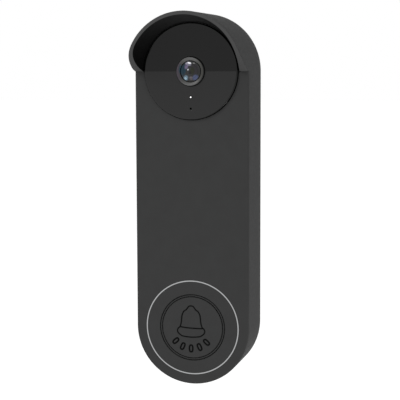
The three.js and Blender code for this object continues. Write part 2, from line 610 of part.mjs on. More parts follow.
// A block with chamfered front edges.
function softBlock(x0, x1, y0, y1, z0, z1) {
  const chamfer = 0.3;
  const shape = rectangle(x0, x1, z0, z1);
  const geometry = new THREE.ExtrudeGeometry(shape, {
    depth: y1 - y0 - chamfer, bevelThickness: chamfer, bevelSize: chamfer, bevelOffset: -chamfer,
    bevelSegments: 1,
  });
  geometry.rotateX(Math.PI / 2);
  geometry.translate(0, y1, 0);
  return cut(solid(geometry), block(x0 - 1, x1 + 1, y1, y1 + 2, z0 - 1, z1 + 1));
}

piece('battery_pack', slab(rounded(-BATTERY_HALF_X, BATTERY_HALF_X, -BATTERY_HALF_Z, BATTERY_HALF_Z,
  2.5), BATTERY_FRONT, BATTERY_BACK, 4), 0x2f4f7a, 0.35);
const trayHalfX = BATTERY_HALF_X + ROOM + TRAY_WALL;
const trayHalfZ = BATTERY_HALF_Z + ROOM + TRAY_WALL;
const trayRim = (BATTERY_FRONT + BATTERY_BACK) / 2;
piece('battery_tray', cut(
  slab(rounded(-trayHalfX, trayHalfX, -trayHalfZ, trayHalfZ, 3.2), trayRim, TRAY_FLOOR_BACK, 4),
  slab(rounded(-BATTERY_HALF_X - ROOM, BATTERY_HALF_X + ROOM, -BATTERY_HALF_Z - ROOM,
    BATTERY_HALF_Z + ROOM, 2.7), trayRim - 1, TRAY_FLOOR_BACK - TRAY_WALL, 4)), BLACK_PLASTIC, 0.6);

// A flat cable: its middle line is a smooth curve through [y, z] points.
function flatCable(points, x0, x1) {
  const steps = 14;
  const thick = 0.25;
  const line = new THREE.SplineCurve(points.map(([y, z]) => new THREE.Vector2(y, z)));
  const edge = (side) => Array.from({ length: steps + 1 }, (_, i) => {
    const along = line.getTangent(i / steps);
    const normal = new THREE.Vector2(-along.y, along.x).multiplyScalar((side * thick) / 2);
    return line.getPoint(i / steps).add(normal);
  });
  return sideSlab(new THREE.Shape([...edge(1), ...edge(-1).reverse()]), x0, x1);
}

const cableTouch = 0.25;
const cameraCableMid = (SENSOR_BOARD_FRONT + MAIN_BACK) / 2;
piece('camera_flex_cable', flatCable([
  [SENSOR_BOARD_FRONT - cableTouch, END - holderHalfZ - 0.5],
  [SENSOR_BOARD_FRONT - cableTouch - 1, END - holderHalfZ - 4],
  [cameraCableMid, END - holderHalfZ - 8], [MAIN_BACK + cableTouch + 2, BOSS_Z + 4],
  [MAIN_BACK + cableTouch, BOSS_Z]], 1, 8), AMBER_FILM, 0.4);
piece('button_flex_cable', flatCable([
  [MAIN_FRONT - cableTouch, -MAIN_HALF + 3], [MAIN_FRONT - cableTouch, -MAIN_HALF + 0.5],
  [MAIN_FRONT, -MAIN_HALF - 1.5], [BUTTON_BOARD_FRONT - cableTouch, -END + BUTTON_BOARD_RADIUS - 0.5],
  [BUTTON_BOARD_FRONT - cableTouch, -END + BUTTON_BOARD_RADIUS - 3]], -4, 4), AMBER_FILM, 0.4);

// ---- Speaker in the lower end, facing down ----

const speakerDrop = CAVITY_RADIUS - 6.4;
const speakerHalf = Math.sqrt(CAVITY_RADIUS ** 2 - speakerDrop ** 2) - 1.2;
const speakerFront = BUTTON_BOARD_BACK + 0.8;
const speakerBack = FLOOR_FRONT - 0.8;
const speakerLow = -END - speakerDrop;
const speakerTop = speakerLow + 4.6;
piece('speaker_frame', cut(
  block(-speakerHalf, speakerHalf, speakerFront, speakerBack, speakerLow, speakerTop),
  block(-speakerHalf + 1.2, speakerHalf - 1.2, speakerFront + 1.2, speakerBack - 1.2,
    speakerLow - 1, speakerTop - 1.2),
  block(-4.6, 4.6, speakerFront + 1.5, speakerBack - 1.5, speakerTop - 2, speakerTop + 1)),
BLACK_PLASTIC, 0.5);
piece('speaker_cone', block(-speakerHalf + 1.5, speakerHalf - 1.5, speakerFront + 1.5,
  speakerBack - 1.5, speakerLow + 0.3, speakerLow + 0.8), 0x3a3a3c, 0.7);
piece('speaker_magnet', block(-4.3, 4.3, speakerFront + 1.8, speakerBack - 1.8,
  speakerTop - 1.6, speakerTop + 2.4), STEEL, 0.3, 1);
piece('speaker_gasket', cut(
  block(-speakerHalf, speakerHalf, speakerFront, speakerBack, speakerLow - 0.9, speakerLow - SEAT),
  block(-speakerHalf + 1.2, speakerHalf - 1.2, speakerFront + 1.2, speakerBack - 1.2,
    speakerLow - 2, speakerLow + 1)), RUBBER, 0.8);

// ---- Power board with its charging port, terminals and reset switch ----

const powerLow = RESET_Z - 5;
piece('power_board', cut(
  slab(rounded(-POWER_HALF_X, POWER_HALF_X, powerLow, POWER_TOP, 1.5), POWER_FRONT, POWER_BACK, 3),
  ...[-1, 1].map((side) => rod(1.6, POWER_FRONT - 1, POWER_BACK + 1, side * TERMINAL_X, TERMINAL_Z))),
BOARD_GREEN, 0.5);
const usbShell = slab(rounded(-4.45, 4.45, USB_Z - 1.6, USB_Z + 1.6, 1.5), POWER_BACK + SEAT,
  FLOOR_BACK - 0.1, 4);
const usbMouth = slab(rounded(-4.15, 4.15, USB_Z - 1.3, USB_Z + 1.3, 1.25), POWER_BACK + 1.5,
  FLOOR_BACK + 1, 4);
const usbBlade = block(-3.3, 3.3, POWER_BACK + 1, FLOOR_BACK - 0.8, USB_Z - 0.35, USB_Z + 0.35);
piece('usb_port', join(cut(usbShell, usbMouth), usbBlade), STEEL, 0.3, 1);
[-1, 1].forEach((side) => {
  const name = side < 0 ? 'terminal_screw_left' : 'terminal_screw_right';
  piece(name, screw(2.5, FLOOR_BACK + SEAT + 1.1, 1.1, 1.35, POWER_FRONT - 0.2,
    side * TERMINAL_X, TERMINAL_Z), BRASS, 0.3, 1);
});
const RESET_TRAVEL = 0.5;
const resetFront = POWER_BACK + 0.4 + RESET_TRAVEL + 0.1;
piece('reset_button', turned([
  [0, resetFront], [1.1, resetFront], [1.1, FLOOR_FRONT - 1.6], [2.8, FLOOR_FRONT - 1.6],
  [2.8, FLOOR_FRONT - 0.8], [1.9, FLOOR_FRONT - 0.8], [1.9, FLOOR_BACK - 0.5],
  [1.6, FLOOR_BACK - 0.3], [0, FLOOR_BACK - 0.3],
], RESET_X, RESET_Z, 2 * FINE), 0xb8472f, 0.5);
piece('reset_switch', block(RESET_X - 1.5, RESET_X + 1.5, POWER_BACK + SEAT,
  POWER_BACK + 0.4, RESET_Z - 1.5, RESET_Z + 1.5), BLACK_PLASTIC, 0.4);

// ---- Release latch and its spring ----

const latchHalf = LATCH_WIDTH / 2;
const latchFront = FLOOR_BACK - 1.1;
const latchBack = FLOOR_BACK - 0.1;
piece('release_latch', join(
  block(-latchHalf, latchHalf, latchFront, latchBack, LATCH_LOW, HOOK_TOP),
  block(-latchHalf, latchHalf, latchBack - 0.5, -0.7, HOOK_LOW, HOOK_TOP),
  block(-latchHalf, latchHalf, -1.9, -0.7, HOOK_LOW - 2.1, HOOK_LOW + 0.5)), 0xc9cbcc, 0.45);

// A flat meander of moulded spring: bars joined at alternate ends.
function meander(x, front, back, low, high, turns) {
  const wire = 0.4;
  const pitch = (high - low - wire) / turns;
  const bars = Array.from({ length: turns + 1 }, (_, i) => {
    const z = low + i * pitch;
    return block(-x, x, front, back, z, z + wire);
  });
  const ends = Array.from({ length: turns }, (_, i) => {
    const side = i % 2 === 0 ? 1 : -1;
    const z = low + i * pitch;
    return block(side * x - wire / 2, side * x + wire / 2, front, back, z, z + pitch + wire);
  });
  return join(...bars, ...ends);
}

piece('latch_spring', meander(latchHalf - 0.6, latchFront + 0.1, latchBack - 0.1,
  SPRING_LOW, SPRING_TOP, 5), STEEL, 0.3, 1);

// ---- Wall plate ----

const windowHalf = TERMINAL_X + 5.5;
const windowTop = POWER_TOP + 1.2;
const windowLow = TERMINAL_Z - 5;
const hookHalf = latchHalf + 1.2;
const plateTop = END + PLATE_RADIUS;
const SCREW_ZS = [END - 16, windowTop + 11];
const seatDepth = 1.5;
const plateBlank = join(
  slab(pill(PLATE_RADIUS), -PLATE_THICK, 0),
  block(-TONGUE_WIDTH / 2, TONGUE_WIDTH / 2, -3.2, -1.9, END, plateTop + 1.7));
const plateCuts = [
  block(-windowHalf, windowHalf, -PLATE_THICK - 1, 1, windowLow, windowTop),
  block(-hookHalf, hookHalf, -PLATE_THICK - 1, 1, CATCH_Z, windowLow + 1),
  block(-hookHalf, hookHalf, -2.2, 1, CATCH_Z - 3, CATCH_Z + 1),
  ...SCREW_ZS.flatMap((z) => [
    rod(PLATE_SCREW_RADIUS, -PLATE_THICK - 1, 1, 0, z),
    rod(PLATE_SCREW_RADIUS + 2.3, -PLATE_THICK - 1, -PLATE_THICK + seatDepth, 0, z, 3 * FINE),
  ]),
];
piece('wall_plate', cut(plateBlank, ...plateCuts), GREY_PLASTIC, 0.6);

export default doorbell;
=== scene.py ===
import math

import bmesh
import bpy
import numpy as np
from mathutils import Matrix, Vector
from mathutils.geometry import delaunay_2d_cdt


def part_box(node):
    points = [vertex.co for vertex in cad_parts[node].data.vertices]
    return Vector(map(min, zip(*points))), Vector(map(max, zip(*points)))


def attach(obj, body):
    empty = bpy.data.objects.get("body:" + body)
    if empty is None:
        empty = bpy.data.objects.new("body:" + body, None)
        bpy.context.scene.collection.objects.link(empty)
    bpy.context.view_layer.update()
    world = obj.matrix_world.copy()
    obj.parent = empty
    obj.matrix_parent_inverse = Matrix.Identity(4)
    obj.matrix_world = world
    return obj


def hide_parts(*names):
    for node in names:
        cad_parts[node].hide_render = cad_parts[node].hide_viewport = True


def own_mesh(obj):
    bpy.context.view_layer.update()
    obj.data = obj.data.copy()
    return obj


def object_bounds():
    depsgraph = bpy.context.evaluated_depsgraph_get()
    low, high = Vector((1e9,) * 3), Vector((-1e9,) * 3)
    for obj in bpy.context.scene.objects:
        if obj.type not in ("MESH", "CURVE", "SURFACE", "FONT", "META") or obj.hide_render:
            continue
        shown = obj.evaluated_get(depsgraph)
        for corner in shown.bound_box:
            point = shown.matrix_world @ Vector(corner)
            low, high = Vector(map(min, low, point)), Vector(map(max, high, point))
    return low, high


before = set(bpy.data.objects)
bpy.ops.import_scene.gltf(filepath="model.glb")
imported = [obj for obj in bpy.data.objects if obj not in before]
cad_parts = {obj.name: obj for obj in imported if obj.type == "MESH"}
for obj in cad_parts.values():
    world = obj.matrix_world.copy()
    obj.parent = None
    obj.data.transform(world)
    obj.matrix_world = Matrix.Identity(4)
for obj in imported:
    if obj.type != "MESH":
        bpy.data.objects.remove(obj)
cad_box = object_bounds()

# ---- Camera, light and floor ----
# A long lens to the right of the doorbell and a little above it. The doorbell hangs clear of
# a white floor in a white room, with a soft light high in front on the left and a faint one
# low on the right.
LENS_LENGTH = 110.8
EYE = (0.13547, -0.52036, 0.05672)
TURN = 0.2598
DIP = 0.1091
LEAN = -0.0033

eye = bpy.data.cameras.new("eye")
eye.lens = LENS_LENGTH
eye.sensor_width = 36
eye.clip_start = 0.01


def placed(name, data):
    """Puts an object of this name and data in the scene."""
    made = bpy.data.objects.new(name, data)
    bpy.context.scene.collection.objects.link(made)
    return made


eye_stand = placed("eye", eye)
eye_stand.location = EYE
aim = (Matrix.Rotation(TURN, 3, "Z") @ Matrix.Rotation(math.pi / 2 - DIP, 3, "X")
       @ Matrix.Rotation(LEAN, 3, "Z"))
eye_stand.rotation_euler = aim.to_euler()
bpy.context.scene.camera = eye_stand
bpy.context.scene.view_settings.view_transform = "Standard"
bpy.context.scene.view_settings.look = "None"

room = bpy.data.worlds.new("white_room")
room.use_nodes = True
room.node_tree.nodes["Background"].inputs["Color"].default_value = (1, 1, 1, 1)
room.node_tree.nodes["Background"].inputs["Strength"].default_value = 1.0
bpy.context.scene.world = room


def soft_light(name, place, target, width, watts):
    light = bpy.data.lights.new(name, "AREA")
    light.shape = "DISK"
    light.size = width
    light.energy = watts
    stand = placed(name, light)
    stand.location = place
    aim = Vector(target) - Vector(place)
    stand.rotation_euler = aim.to_track_quat("-Z", "Y").to_euler()


soft_light("key", (-0.7, -0.75, 0.75), (0, 0, 0), 0.4, 4.0)
soft_light("low_fill", (0.16, -0.02, -0.15), (0.02, -0.012, -0.06), 0.05, 0.08)


class Term:
    """One output of a material's nodes. Arithmetic on values adds Math nodes."""

    def __init__(self, finish, socket):
        self.finish = finish
        self.socket = socket

    def math(self, operation, *values):
        return self.finish.node("Math", {"operation": operation}, dict(enumerate(values)))

    def __add__(self, other):
        return self.math("ADD", self, other)

    def __sub__(self, other):
        return self.math("SUBTRACT", self, other)

    def __mul__(self, other):
        return self.math("MULTIPLY", self, other)

    def __gt__(self, other):
        return self.math("GREATER_THAN", self, other)

    def __lt__(self, other):
        return self.math("LESS_THAN", self, other)

    def __abs__(self):
        return self.math("ABSOLUTE", self)

    def sine(self):
        return self.math("SINE", self)

    def largest(self, other):
        return self.math("MAXIMUM", self, other)


class Finish:
    """A material: one Principled shader, and node() for everything that feeds it."""

    def __init__(self, name, **constants):
        self.material = bpy.data.materials.new(name)
        self.material.use_nodes = True
        self.nodes = self.material.node_tree.nodes
        self.nodes.clear()
        self.shader = self.nodes.new("ShaderNodeBsdfPrincipled")
        self.output = self.nodes.new("ShaderNodeOutputMaterial")
        self.link(self.shader.outputs["BSDF"], self.output.inputs["Surface"])
        self.place = self.node("TexCoord", out="Object")
        self.paint(**constants)

    def link(self, source, target):
        self.material.node_tree.links.new(source, target)

    def fill(self, node, values):
        for key, value in values.items():
            if isinstance(value, Term):
                self.link(value.socket, node.inputs[key])
            else:
                node.inputs[key].default_value = value

    def node(self, kind, settings=None, values=None, out=0):
        node = self.nodes.new("ShaderNode" + kind)
        for key, value in (settings or {}).items():
            setattr(node, key, value)
        self.fill(node, values or {})
        return Term(self, node.outputs[out])

    def paint(self, **values):
        """Sets the shader's sockets: base_color is the socket Base Color."""
        names = {key: key.replace("_", " ").title().replace("Ior", "IOR") for key in values}
        self.fill(self.shader, {names[key]: value for key, value in values.items()})

    def mix(self, share, first, second):
        values = {0: share, 6: first, 7: second}
        return self.node("Mix", {"data_type": "RGBA"}, values, out=2)

    def layers(self, tone, *coats):
        """Lays (share, colour) coats over a tone, one after another."""
        for share, colour in coats:
            tone = self.mix(share, tone, colour)
        return tone

    def noise(self, scale, detail=3.0, rough=0.5, place=None):
        values = {"Vector": place or self.place, "Scale": scale, "Detail": detail,
                  "Roughness": rough}
        return self.node("TexNoise", {}, values)

    def cells(self, scale):
        return self.node("TexVoronoi", {}, {"Vector": self.place, "Scale": scale}, out="Distance")

    def range(self, value, low, high, new_low=0.0, new_high=1.0):
        values = {0: value, 1: low, 2: high, 3: new_low, 4: new_high}
        return self.node("MapRange", {"clamp": True}, values)

    def spread(self, noise, low, high):
        """Spreads a noise's usual range from low to high."""
        return self.range(noise, 0.3, 0.7, low, high)

    def axis(self, letter, place=None):
        return self.node("SeparateXYZ", {}, {0: place or self.place}, out=letter)

    def stretched(self, *scale):
        """Coordinates for a grain that runs one way."""
        return self.node("Mapping", {}, {"Vector": self.place, "Scale": scale})

    def bump(self, height, distance, strength=1.0):
        values = {"Height": height, "Distance": distance, "Strength": strength}
        return self.node("Bump", {}, values)


def grey(value, tint=(1, 1, 1)):
    return (value * tint[0], value * tint[1], value * tint[2], 1)


floor_finish = Finish("white_floor", roughness=0.9, specular_ior_level=0.2)
floor_cloud = floor_finish.noise(3.0)
floor_finish.paint(base_color=floor_finish.mix(floor_cloud, grey(0.95), grey(0.97)),
                   emission_color=grey(1.0), emission_strength=0.08)

FLOOR_DROP = 0.12
FLOOR_HALF = 8.0
floor_mesh = bpy.data.meshes.new("floor")
floor_z = cad_box[0][2] - FLOOR_DROP
floor_mesh.from_pydata(
    [(x * FLOOR_HALF, y * FLOOR_HALF, floor_z) for x, y in ((-1, -1), (1, -1), (1, 1), (-1, 1))],
    [], [(0, 1, 2, 3)])
floor_mesh.materials.append(floor_finish.material)
floor = placed("floor", floor_mesh)

# ---- Silicone sleeve with its rain hood ----
# One moulding in dark grey silicone, 1.5 mm thick, that stretches over the housing from the
# front. Its upper rim swells forward into a hood over the camera. The face has an opening for
# the camera window and one for the bonded light ring; the low end is open for the sound.
MM = 0.001
sleeve_low, sleeve_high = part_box("sleeve_with_hood")
window_low, window_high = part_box("camera_window")
pad_low, pad_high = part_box("button_pad")
BODY_RADIUS = (sleeve_high.x - sleeve_low.x) / 2
END = (window_low.z + window_high.z) / 2
WINDOW_RADIUS = (window_high.x - window_low.x) / 2
FACE = pad_low.y
SKIN_BACK = pad_high.y
WALL_GAP = sleeve_high.y
HOOD_REACH = FACE - sleeve_low.y
SLEEVE_BORE = BODY_RADIUS - (SKIN_BACK - FACE)
HOOD_RISE = 11.1 * MM
HOOD_CURVE = 0.77
HOOD_FOOT = WINDOW_RADIUS + 0.6 * MM
HOOD_MOUTH = SLEEVE_BORE
WINDOW_OPENING = WINDOW_RADIUS + 0.22 * MM
RING_OPENING = 20.475 * MM
SLEEVE_EDGE = 0.8 * MM
HOOD_EDGE = 0.25 * MM
HOOD_LIP = 0.14 * MM
BACK_EDGE = 0.35 * MM
BACK_LIP = 0.2 * MM


class Moulding:
    """Gathers one piece's points and faces, then turns them into a closed mesh."""

    def __init__(self):
        self.points = []
        self.faces = []
        self.bands = []
        self.band = 0

    def loop(self, points):
        start = len(self.points)
        self.points.extend(tuple(point) for point in points)
        return list(range(start, len(self.points)))

    def face(self, corners):
        distinct = tuple(dict.fromkeys(corners))
        if len(distinct) > 2:
            self.faces.append(distinct)
            self.bands.append(self.band)

    def strip(self, first, second, closed=True):
        count = len(first)
        for i in range(count if closed else count - 1):
            j = (i + 1) % count
            self.face((first[i], first[j], second[j], second[i]))

    def strips(self, loops, closed=True):
        for first, second in zip(loops, loops[1:]):
            self.strip(first, second, closed)

    def fan(self, loop, centre):
        middle = self.loop([centre])[0]
        for i, corner in enumerate(loop):
            self.face((corner, loop[(i + 1) % len(loop)], middle))

    def flat(self, outline, holes=()):
        """Fills a plane between an outline and its holes with triangles."""
        chains = [outline, *holes]
        order = [index for chain in chains for index in chain]
        places = [Vector((self.points[i][0] / MM, self.points[i][2] / MM)) for i in order]
        rounds = []
        start = 0
        for chain in chains:
            rounds.append(list(range(start, start + len(chain))))
            start += len(chain)
        result = delaunay_2d_cdt(places, [], rounds, 2, 1e-6)
        sources = result[3]
        for triangle in result[2]:
            self.face([order[sources[corner][0]] for corner in triangle])

    def capped(self, loops):
        """Joins the loops in turn and closes both ends."""
        self.strips(loops)
        self.face(loops[0])
        self.face(loops[-1])

    def make(self, name, *materials, crease=32):
        mesh = bpy.data.meshes.new(name)
        mesh.from_pydata(self.points, [], self.faces)
        for material in materials:
            mesh.materials.append(material)
        mesh.polygons.foreach_set("material_index", self.bands)
        piece = placed(name, mesh)
        work = bmesh.new()
        work.from_mesh(mesh)
        bmesh.ops.remove_doubles(work, verts=work.verts, dist=1e-7)
        bmesh.ops.dissolve_degenerate(work, edges=work.edges, dist=1e-8)
        bmesh.ops.recalc_face_normals(work, faces=work.faces)
        work.to_mesh(mesh)
        work.free()
        smooth(piece, crease)
        return piece


def smooth(piece, crease=32):
    """Round faces shade smoothly, flat ones facing front or back stay flat."""
    mesh = piece.data
    mesh.polygons.foreach_set("use_smooth", [True] * len(mesh.polygons))
    mesh.set_sharp_from_angle(angle=math.radians(crease))
    for face in mesh.polygons:
        if abs(face.normal.y) > 0.9999:
            face.use_smooth = False


def circle(radius, y, centre_x=0.0, centre_z=0.0, count=96):
    turns = [2 * math.pi * i / count for i in range(count)]
    return [(centre_x + radius * math.cos(t), y, centre_z + radius * math.sin(t)) for t in turns]


def hood_reach(height):
    """How far the hood stands in front of the face, at a height above the lens centre."""
    share = min(max(height / HOOD_RISE, 0.0), 1.0)
    return HOOD_REACH * math.sin(math.pi / 2 * share ** HOOD_CURVE)


def quarter(steps):
    return [math.pi / 2 * i / steps for i in range(steps + 1)]


def rounded(radius, y, ease, steps, out=1, on=1):
    """Points of a quarter round, from the side at this radius to the flat face at y."""
    return [(radius + out * ease * (1 - math.cos(turn)), y + on * ease * (1 - math.sin(turn)))
            for turn in quarter(steps)]


SIDE_STEPS = 24
ARC_STEPS = 96
HOOD_STEPS = 72
RIM_STEPS = 4
CONE_STEPS = 7


def sleeve_stations():
    """(centre height, direction x, direction z) anticlockwise, and how many lie on the hood."""
    climb = [math.pi / 2 * (i / HOOD_STEPS) ** 1.8 for i in range(HOOD_STEPS + 1)]
    upper = climb + [math.pi - turn for turn in reversed(climb[:-1])]
    stations = [(END, math.cos(turn), math.sin(turn)) for turn in upper]
    drops = [END - 2 * END * i / SIDE_STEPS for i in range(1, SIDE_STEPS)]
    stations += [(z, -1.0, 0.0) for z in drops]
    lower = [math.pi + math.pi * i / ARC_STEPS for i in range(ARC_STEPS + 1)]
    stations += [(-END, math.cos(turn), math.sin(turn)) for turn in lower]
    stations += [(z, 1.0, 0.0) for z in reversed(drops)]
    return stations, len(upper)


def sleeve_edge(height):
    """The front edge's radius: fuller on the body, finer on the hood's rim."""
    share = min(hood_reach(height) / (3 * MM), 1.0)
    return SLEEVE_EDGE + (HOOD_EDGE - SLEEVE_EDGE) * share


def rim_inner(rise):
    """Radius of the hood's inner edge where the direction climbs by rise."""
    radius = HOOD_FOOT
    for _ in range(20):
        radius = HOOD_FOOT + (HOOD_MOUTH - HOOD_FOOT) * hood_reach(radius * rise) / HOOD_REACH
    return radius


stations, hood_count = sleeve_stations()
moulding = Moulding()


def place_at(station, radius, y):
    height, across, rise = station
    return (radius * across, y, height + radius * rise)


def outside_profile(station):
    """From the front edge round the outside and the back rim, then forward up the bore."""
    rise = station[2] if station[0] > 0 and station[2] > 0 else 0.0
    edge = sleeve_edge(BODY_RADIUS * rise)
    profile = []
    for turn in reversed(quarter(5)):
        radius = BODY_RADIUS - edge * (1 - math.cos(turn))
        front = FACE - hood_reach(radius * rise)
        profile.append((radius, front + edge * (1 - math.sin(turn))))
    start = profile[-1][1]
    for share in (0.1, 0.25, 0.45, 0.65, 0.85):
        profile.append((BODY_RADIUS, start + share * (WALL_GAP - BACK_EDGE - start)))
    profile += rounded(BODY_RADIUS, WALL_GAP, BACK_EDGE, 3, -1, -1)
    profile += rounded(SLEEVE_BORE, WALL_GAP, BACK_LIP, 2, 1, -1)[::-1]
    for share in (0.3, 0.6, 1.0):
        profile.append((SLEEVE_BORE,
                        WALL_GAP - BACK_LIP + share * (SKIN_BACK - WALL_GAP + BACK_LIP)))
    return profile


def hood_profile(station):
    """From the front edge's inner end across the rim and down the cone to the hood's foot."""
    rise = max(station[2], 0.0)
    edge = sleeve_edge(BODY_RADIUS * rise)
    inner = rim_inner(rise)
    lip = min(HOOD_LIP, 0.4 * hood_reach(inner * rise))
    outer = BODY_RADIUS - edge
    profile = []
    for i in range(RIM_STEPS + 1):
        radius = outer + (inner + lip - outer) * i / RIM_STEPS
        profile.append((radius, FACE - hood_reach(radius * rise)))
    for turn in quarter(4)[1:]:
        radius = inner + lip * (1 - math.sin(turn))
        front = FACE - hood_reach(radius * rise)
        profile.append((radius, front + lip * (1 - math.cos(turn))))
    top = profile[-1][1]
    for i in range(1, CONE_STEPS + 1):
        y = top + (FACE - top) * i / CONE_STEPS
        share = (FACE - y) / HOOD_REACH
        radius = HOOD_FOOT + (HOOD_MOUTH - HOOD_FOOT) * share
        profile.append((radius, y))
    profile[-1] = (HOOD_FOOT, FACE)
    return profile


outside = [outside_profile(station) for station in stations]
outside_loops = [
    moulding.loop([place_at(s, *profile[k]) for s, profile in zip(stations, outside)])
    for k in range(len(outside[0]))]
moulding.strips(outside_loops)

arc = stations[:hood_count]
rims = [hood_profile(station) for station in arc]
rim_loops = [outside_loops[0][:hood_count]]
rim_loops += [
    moulding.loop([place_at(s, *profile[k]) for s, profile in zip(arc, rims)])
    for k in range(1, len(rims[0]))]
moulding.strips(rim_loops, closed=False)


def opening(radius, centre_z, ease):
    """A round opening through the face, its front edge eased."""
    profile = rounded(radius, FACE, ease, 3)[::-1] + [(radius, SKIN_BACK)]
    loops = [moulding.loop(circle(out, y, 0, centre_z, 144)) for out, y in profile]
    moulding.strips(loops)
    return loops[0], loops[-1]


window_front, window_back = opening(WINDOW_OPENING, END, 0.12 * MM)
ring_front, ring_back = opening(RING_OPENING, -END, 0.08 * MM)
start_across = [loop[0] for loop in rim_loops]
end_across = [loop[-1] for loop in rim_loops]
seen = set()
outline = []
for index in (outside_loops[0][hood_count - 1:] + start_across + rim_loops[-1]
              + end_across[::-1]):
    key = tuple(round(value / MM, 4) for value in moulding.points[index])
    if key not in seen:
        seen.add(key)
        outline.append(index)
moulding.flat(outline, [window_front, ring_front])
moulding.flat(outside_loops[-1], [window_back, ring_back])


def silicone(name, shaded="engraved"):
    """Matt dark grey silicone: fine moulded grain, a cloudy tone and a little lint."""
    finish = Finish(name, specular_ior_level=0.02)
    cloud = finish.noise(160.0, 4.0, 0.6)
    grain = finish.noise(5200.0, 2.0, 0.6)
    lint = finish.cells(900.0) < 0.035
    depth = finish.node("Attribute", {"attribute_name": shaded}, out="Fac")
    # Where the attribute is above 0 the silicone is painted near black as shade; where it is below
    # 0 it is painted lighter as a highlight.
    tone = finish.layers(
        grey(0.033), (cloud, grey(0.039, (0.99, 1.0, 1.0))), (lint * 0.35, grey(0.06)),
        (depth * 0.96, grey(0.001)), (finish.range(depth, 0.0, -1.0), grey(0.08)))
    rough = finish.spread(finish.noise(700.0), 0.58, 0.68)
    finish.paint(base_color=tone, roughness=rough, normal=finish.bump(grain, 0.02 * MM, 0.6))
    return finish.material


sleeve_silicone = silicone("sleeve_silicone", "hood_shade")
sleeve = moulding.make("silicone_sleeve_and_hood", sleeve_silicone)


def settle(piece):
    """Keeps the mesh that a piece's modifiers make, and drops the modifiers."""
    bpy.context.view_layer.update()
    scene_now = bpy.context.evaluated_depsgraph_get()
    mesh = bpy.data.meshes.new_from_object(piece.evaluated_get(scene_now))
    piece.modifiers.clear()
    piece.data = mesh


def carve(piece, tool, operation="DIFFERENCE"):
    """Cuts a tool mesh out of a piece, or joins it on, and drops the tool."""
    modifier = piece.modifiers.new("carve", "BOOLEAN")
    modifier.operation = operation
    modifier.solver = "EXACT"
    modifier.object = tool
    settle(piece)
    bpy.data.objects.remove(tool)


def slot_tool(half_x, y0, y1, z0, z1, corner, count=8):
    """A block along Z with rounded corners, for cutting a slot through an end wall."""
    tool = Moulding()
    ring = []
    for centre_x, centre_y, start in (
            (half_x - corner, y1 - corner, 0), (-half_x + corner, y1 - corner, 1),
            (-half_x + corner, y0 + corner, 2), (half_x - corner, y0 + corner, 3)):
        for i in range(count + 1):
            turn = math.pi / 2 * (start + i / count)
            ring.append((centre_x + corner * math.cos(turn), centre_y + corner * math.sin(turn)))
    tool.capped([tool.loop([(x, y, z) for x, y in ring]) for z in (z0, z1)])
    return tool.make("tool", sleeve_silicone)


SOUND_SLOT = (9 * MM, -16.3 * MM, -10.3 * MM)
SLOT_CORNER = 1.2 * MM
PIN_HOLE = (1.05 * MM, -6.25 * MM, -4.15 * MM)
sleeve_end = -END - BODY_RADIUS
carve(sleeve, slot_tool(*SOUND_SLOT, sleeve_end - MM, sleeve_end + 4 * MM, SLOT_CORNER))
carve(sleeve, slot_tool(*PIN_HOLE, sleeve_end - MM, sleeve_end + 3 * MM, 1.049 * MM))
smooth(sleeve)


# Painted shade inside the hood, darker towards its left and right, and a painted highlight along
# its front rim.
HOOD_SHADE_DARK = 0.48
HOOD_SHADE_SIDES = 0.5
RIM_HIGHLIGHT = -0.45


def hood_shade(x, y, z):
    """1 where the painted shade inside the hood is darkest, 0 outside, below 0 on the rim's
    painted highlight.
    """
    out = math.hypot(x, z - END)
    ahead = FACE - y
    if z > END and ahead > max(hood_reach(z - END) - 0.08 * MM, 0.4 * MM):
        return RIM_HIGHLIGHT
    if z < END - 0.05 * MM or ahead < -0.02 * MM or out > BODY_RADIUS - 0.9 * MM:
        return 0.0
    cone = HOOD_FOOT + (HOOD_MOUTH - HOOD_FOOT) * ahead / HOOD_REACH
    if out > cone + 0.1 * MM:
        return 0.0
    return HOOD_SHADE_DARK + HOOD_SHADE_SIDES * abs(x) / out


# The painted shade and highlight are kept on the sleeve's points, for its silicone to read.
shade = sleeve.data.attributes.new("hood_shade", "FLOAT", "POINT")
shade.data.foreach_set("value", [hood_shade(*vertex.co) for vertex in sleeve.data.vertices])
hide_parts("sleeve_with_hood")
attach(sleeve, "sleeve")


# ---- Light ring ----
# A thin ring of milky clear plastic, bonded flush into the sleeve's face. It carries light
# from the guide behind it, and is grey while the light is off.
ring_low, ring_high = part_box("light_ring_inlay")
RING_OUTER = (ring_high.x - ring_low.x) / 2
RING_INNER = RING_OUTER - 0.85 * MM
RING_CROWN = 0.05 * MM
RING_EASE = 0.12 * MM
RING_CORE = 0.16


def turned(name, profile, material, centre_z, centre_x=0.0, count=96):
    """Turns a closed (radius, y) profile about a line along Y; radius 0 closes on a point."""
    lathe = Moulding()
    loops = []
    for radius, y in profile:
        if radius > 0:
            loops.append(lathe.loop(circle(radius, y, centre_x, centre_z, count)))
        else:
            loops.append(lathe.loop([(centre_x, y, centre_z)]) * count)
    if profile[0][0] > 0:
        loops.append(loops[0])
    lathe.strips(loops)
    return lathe.make(name, material)


def eased(corner, radius, start, steps=4):
    """Points of a quarter round at a profile's corner, from the angle start, in degrees."""
    x, y = corner
    turns = [math.radians(start + 90 * i / steps) for i in range(steps + 1)]
    return [(x + radius * math.cos(turn), y + radius * math.sin(turn)) for turn in turns]


def level_length(finish, place):
    """Distance of a place from the Y axis."""
    level = finish.node("VectorMath", {"operation": "MULTIPLY"}, {0: place, 1: (1, 0, 1)})
    return finish.node("VectorMath", {"operation": "LENGTH"}, {0: level}, out="Value")


def radius_about(finish, centre_z):
    """Place from a line along Y through (0, centre_z), and distance in millimetres."""
    moved = finish.node("VectorMath", {"operation": "SUBTRACT"},
                        {0: finish.place, 1: (0, 0, centre_z)})
    return moved, level_length(finish, moved) * (1 / MM)


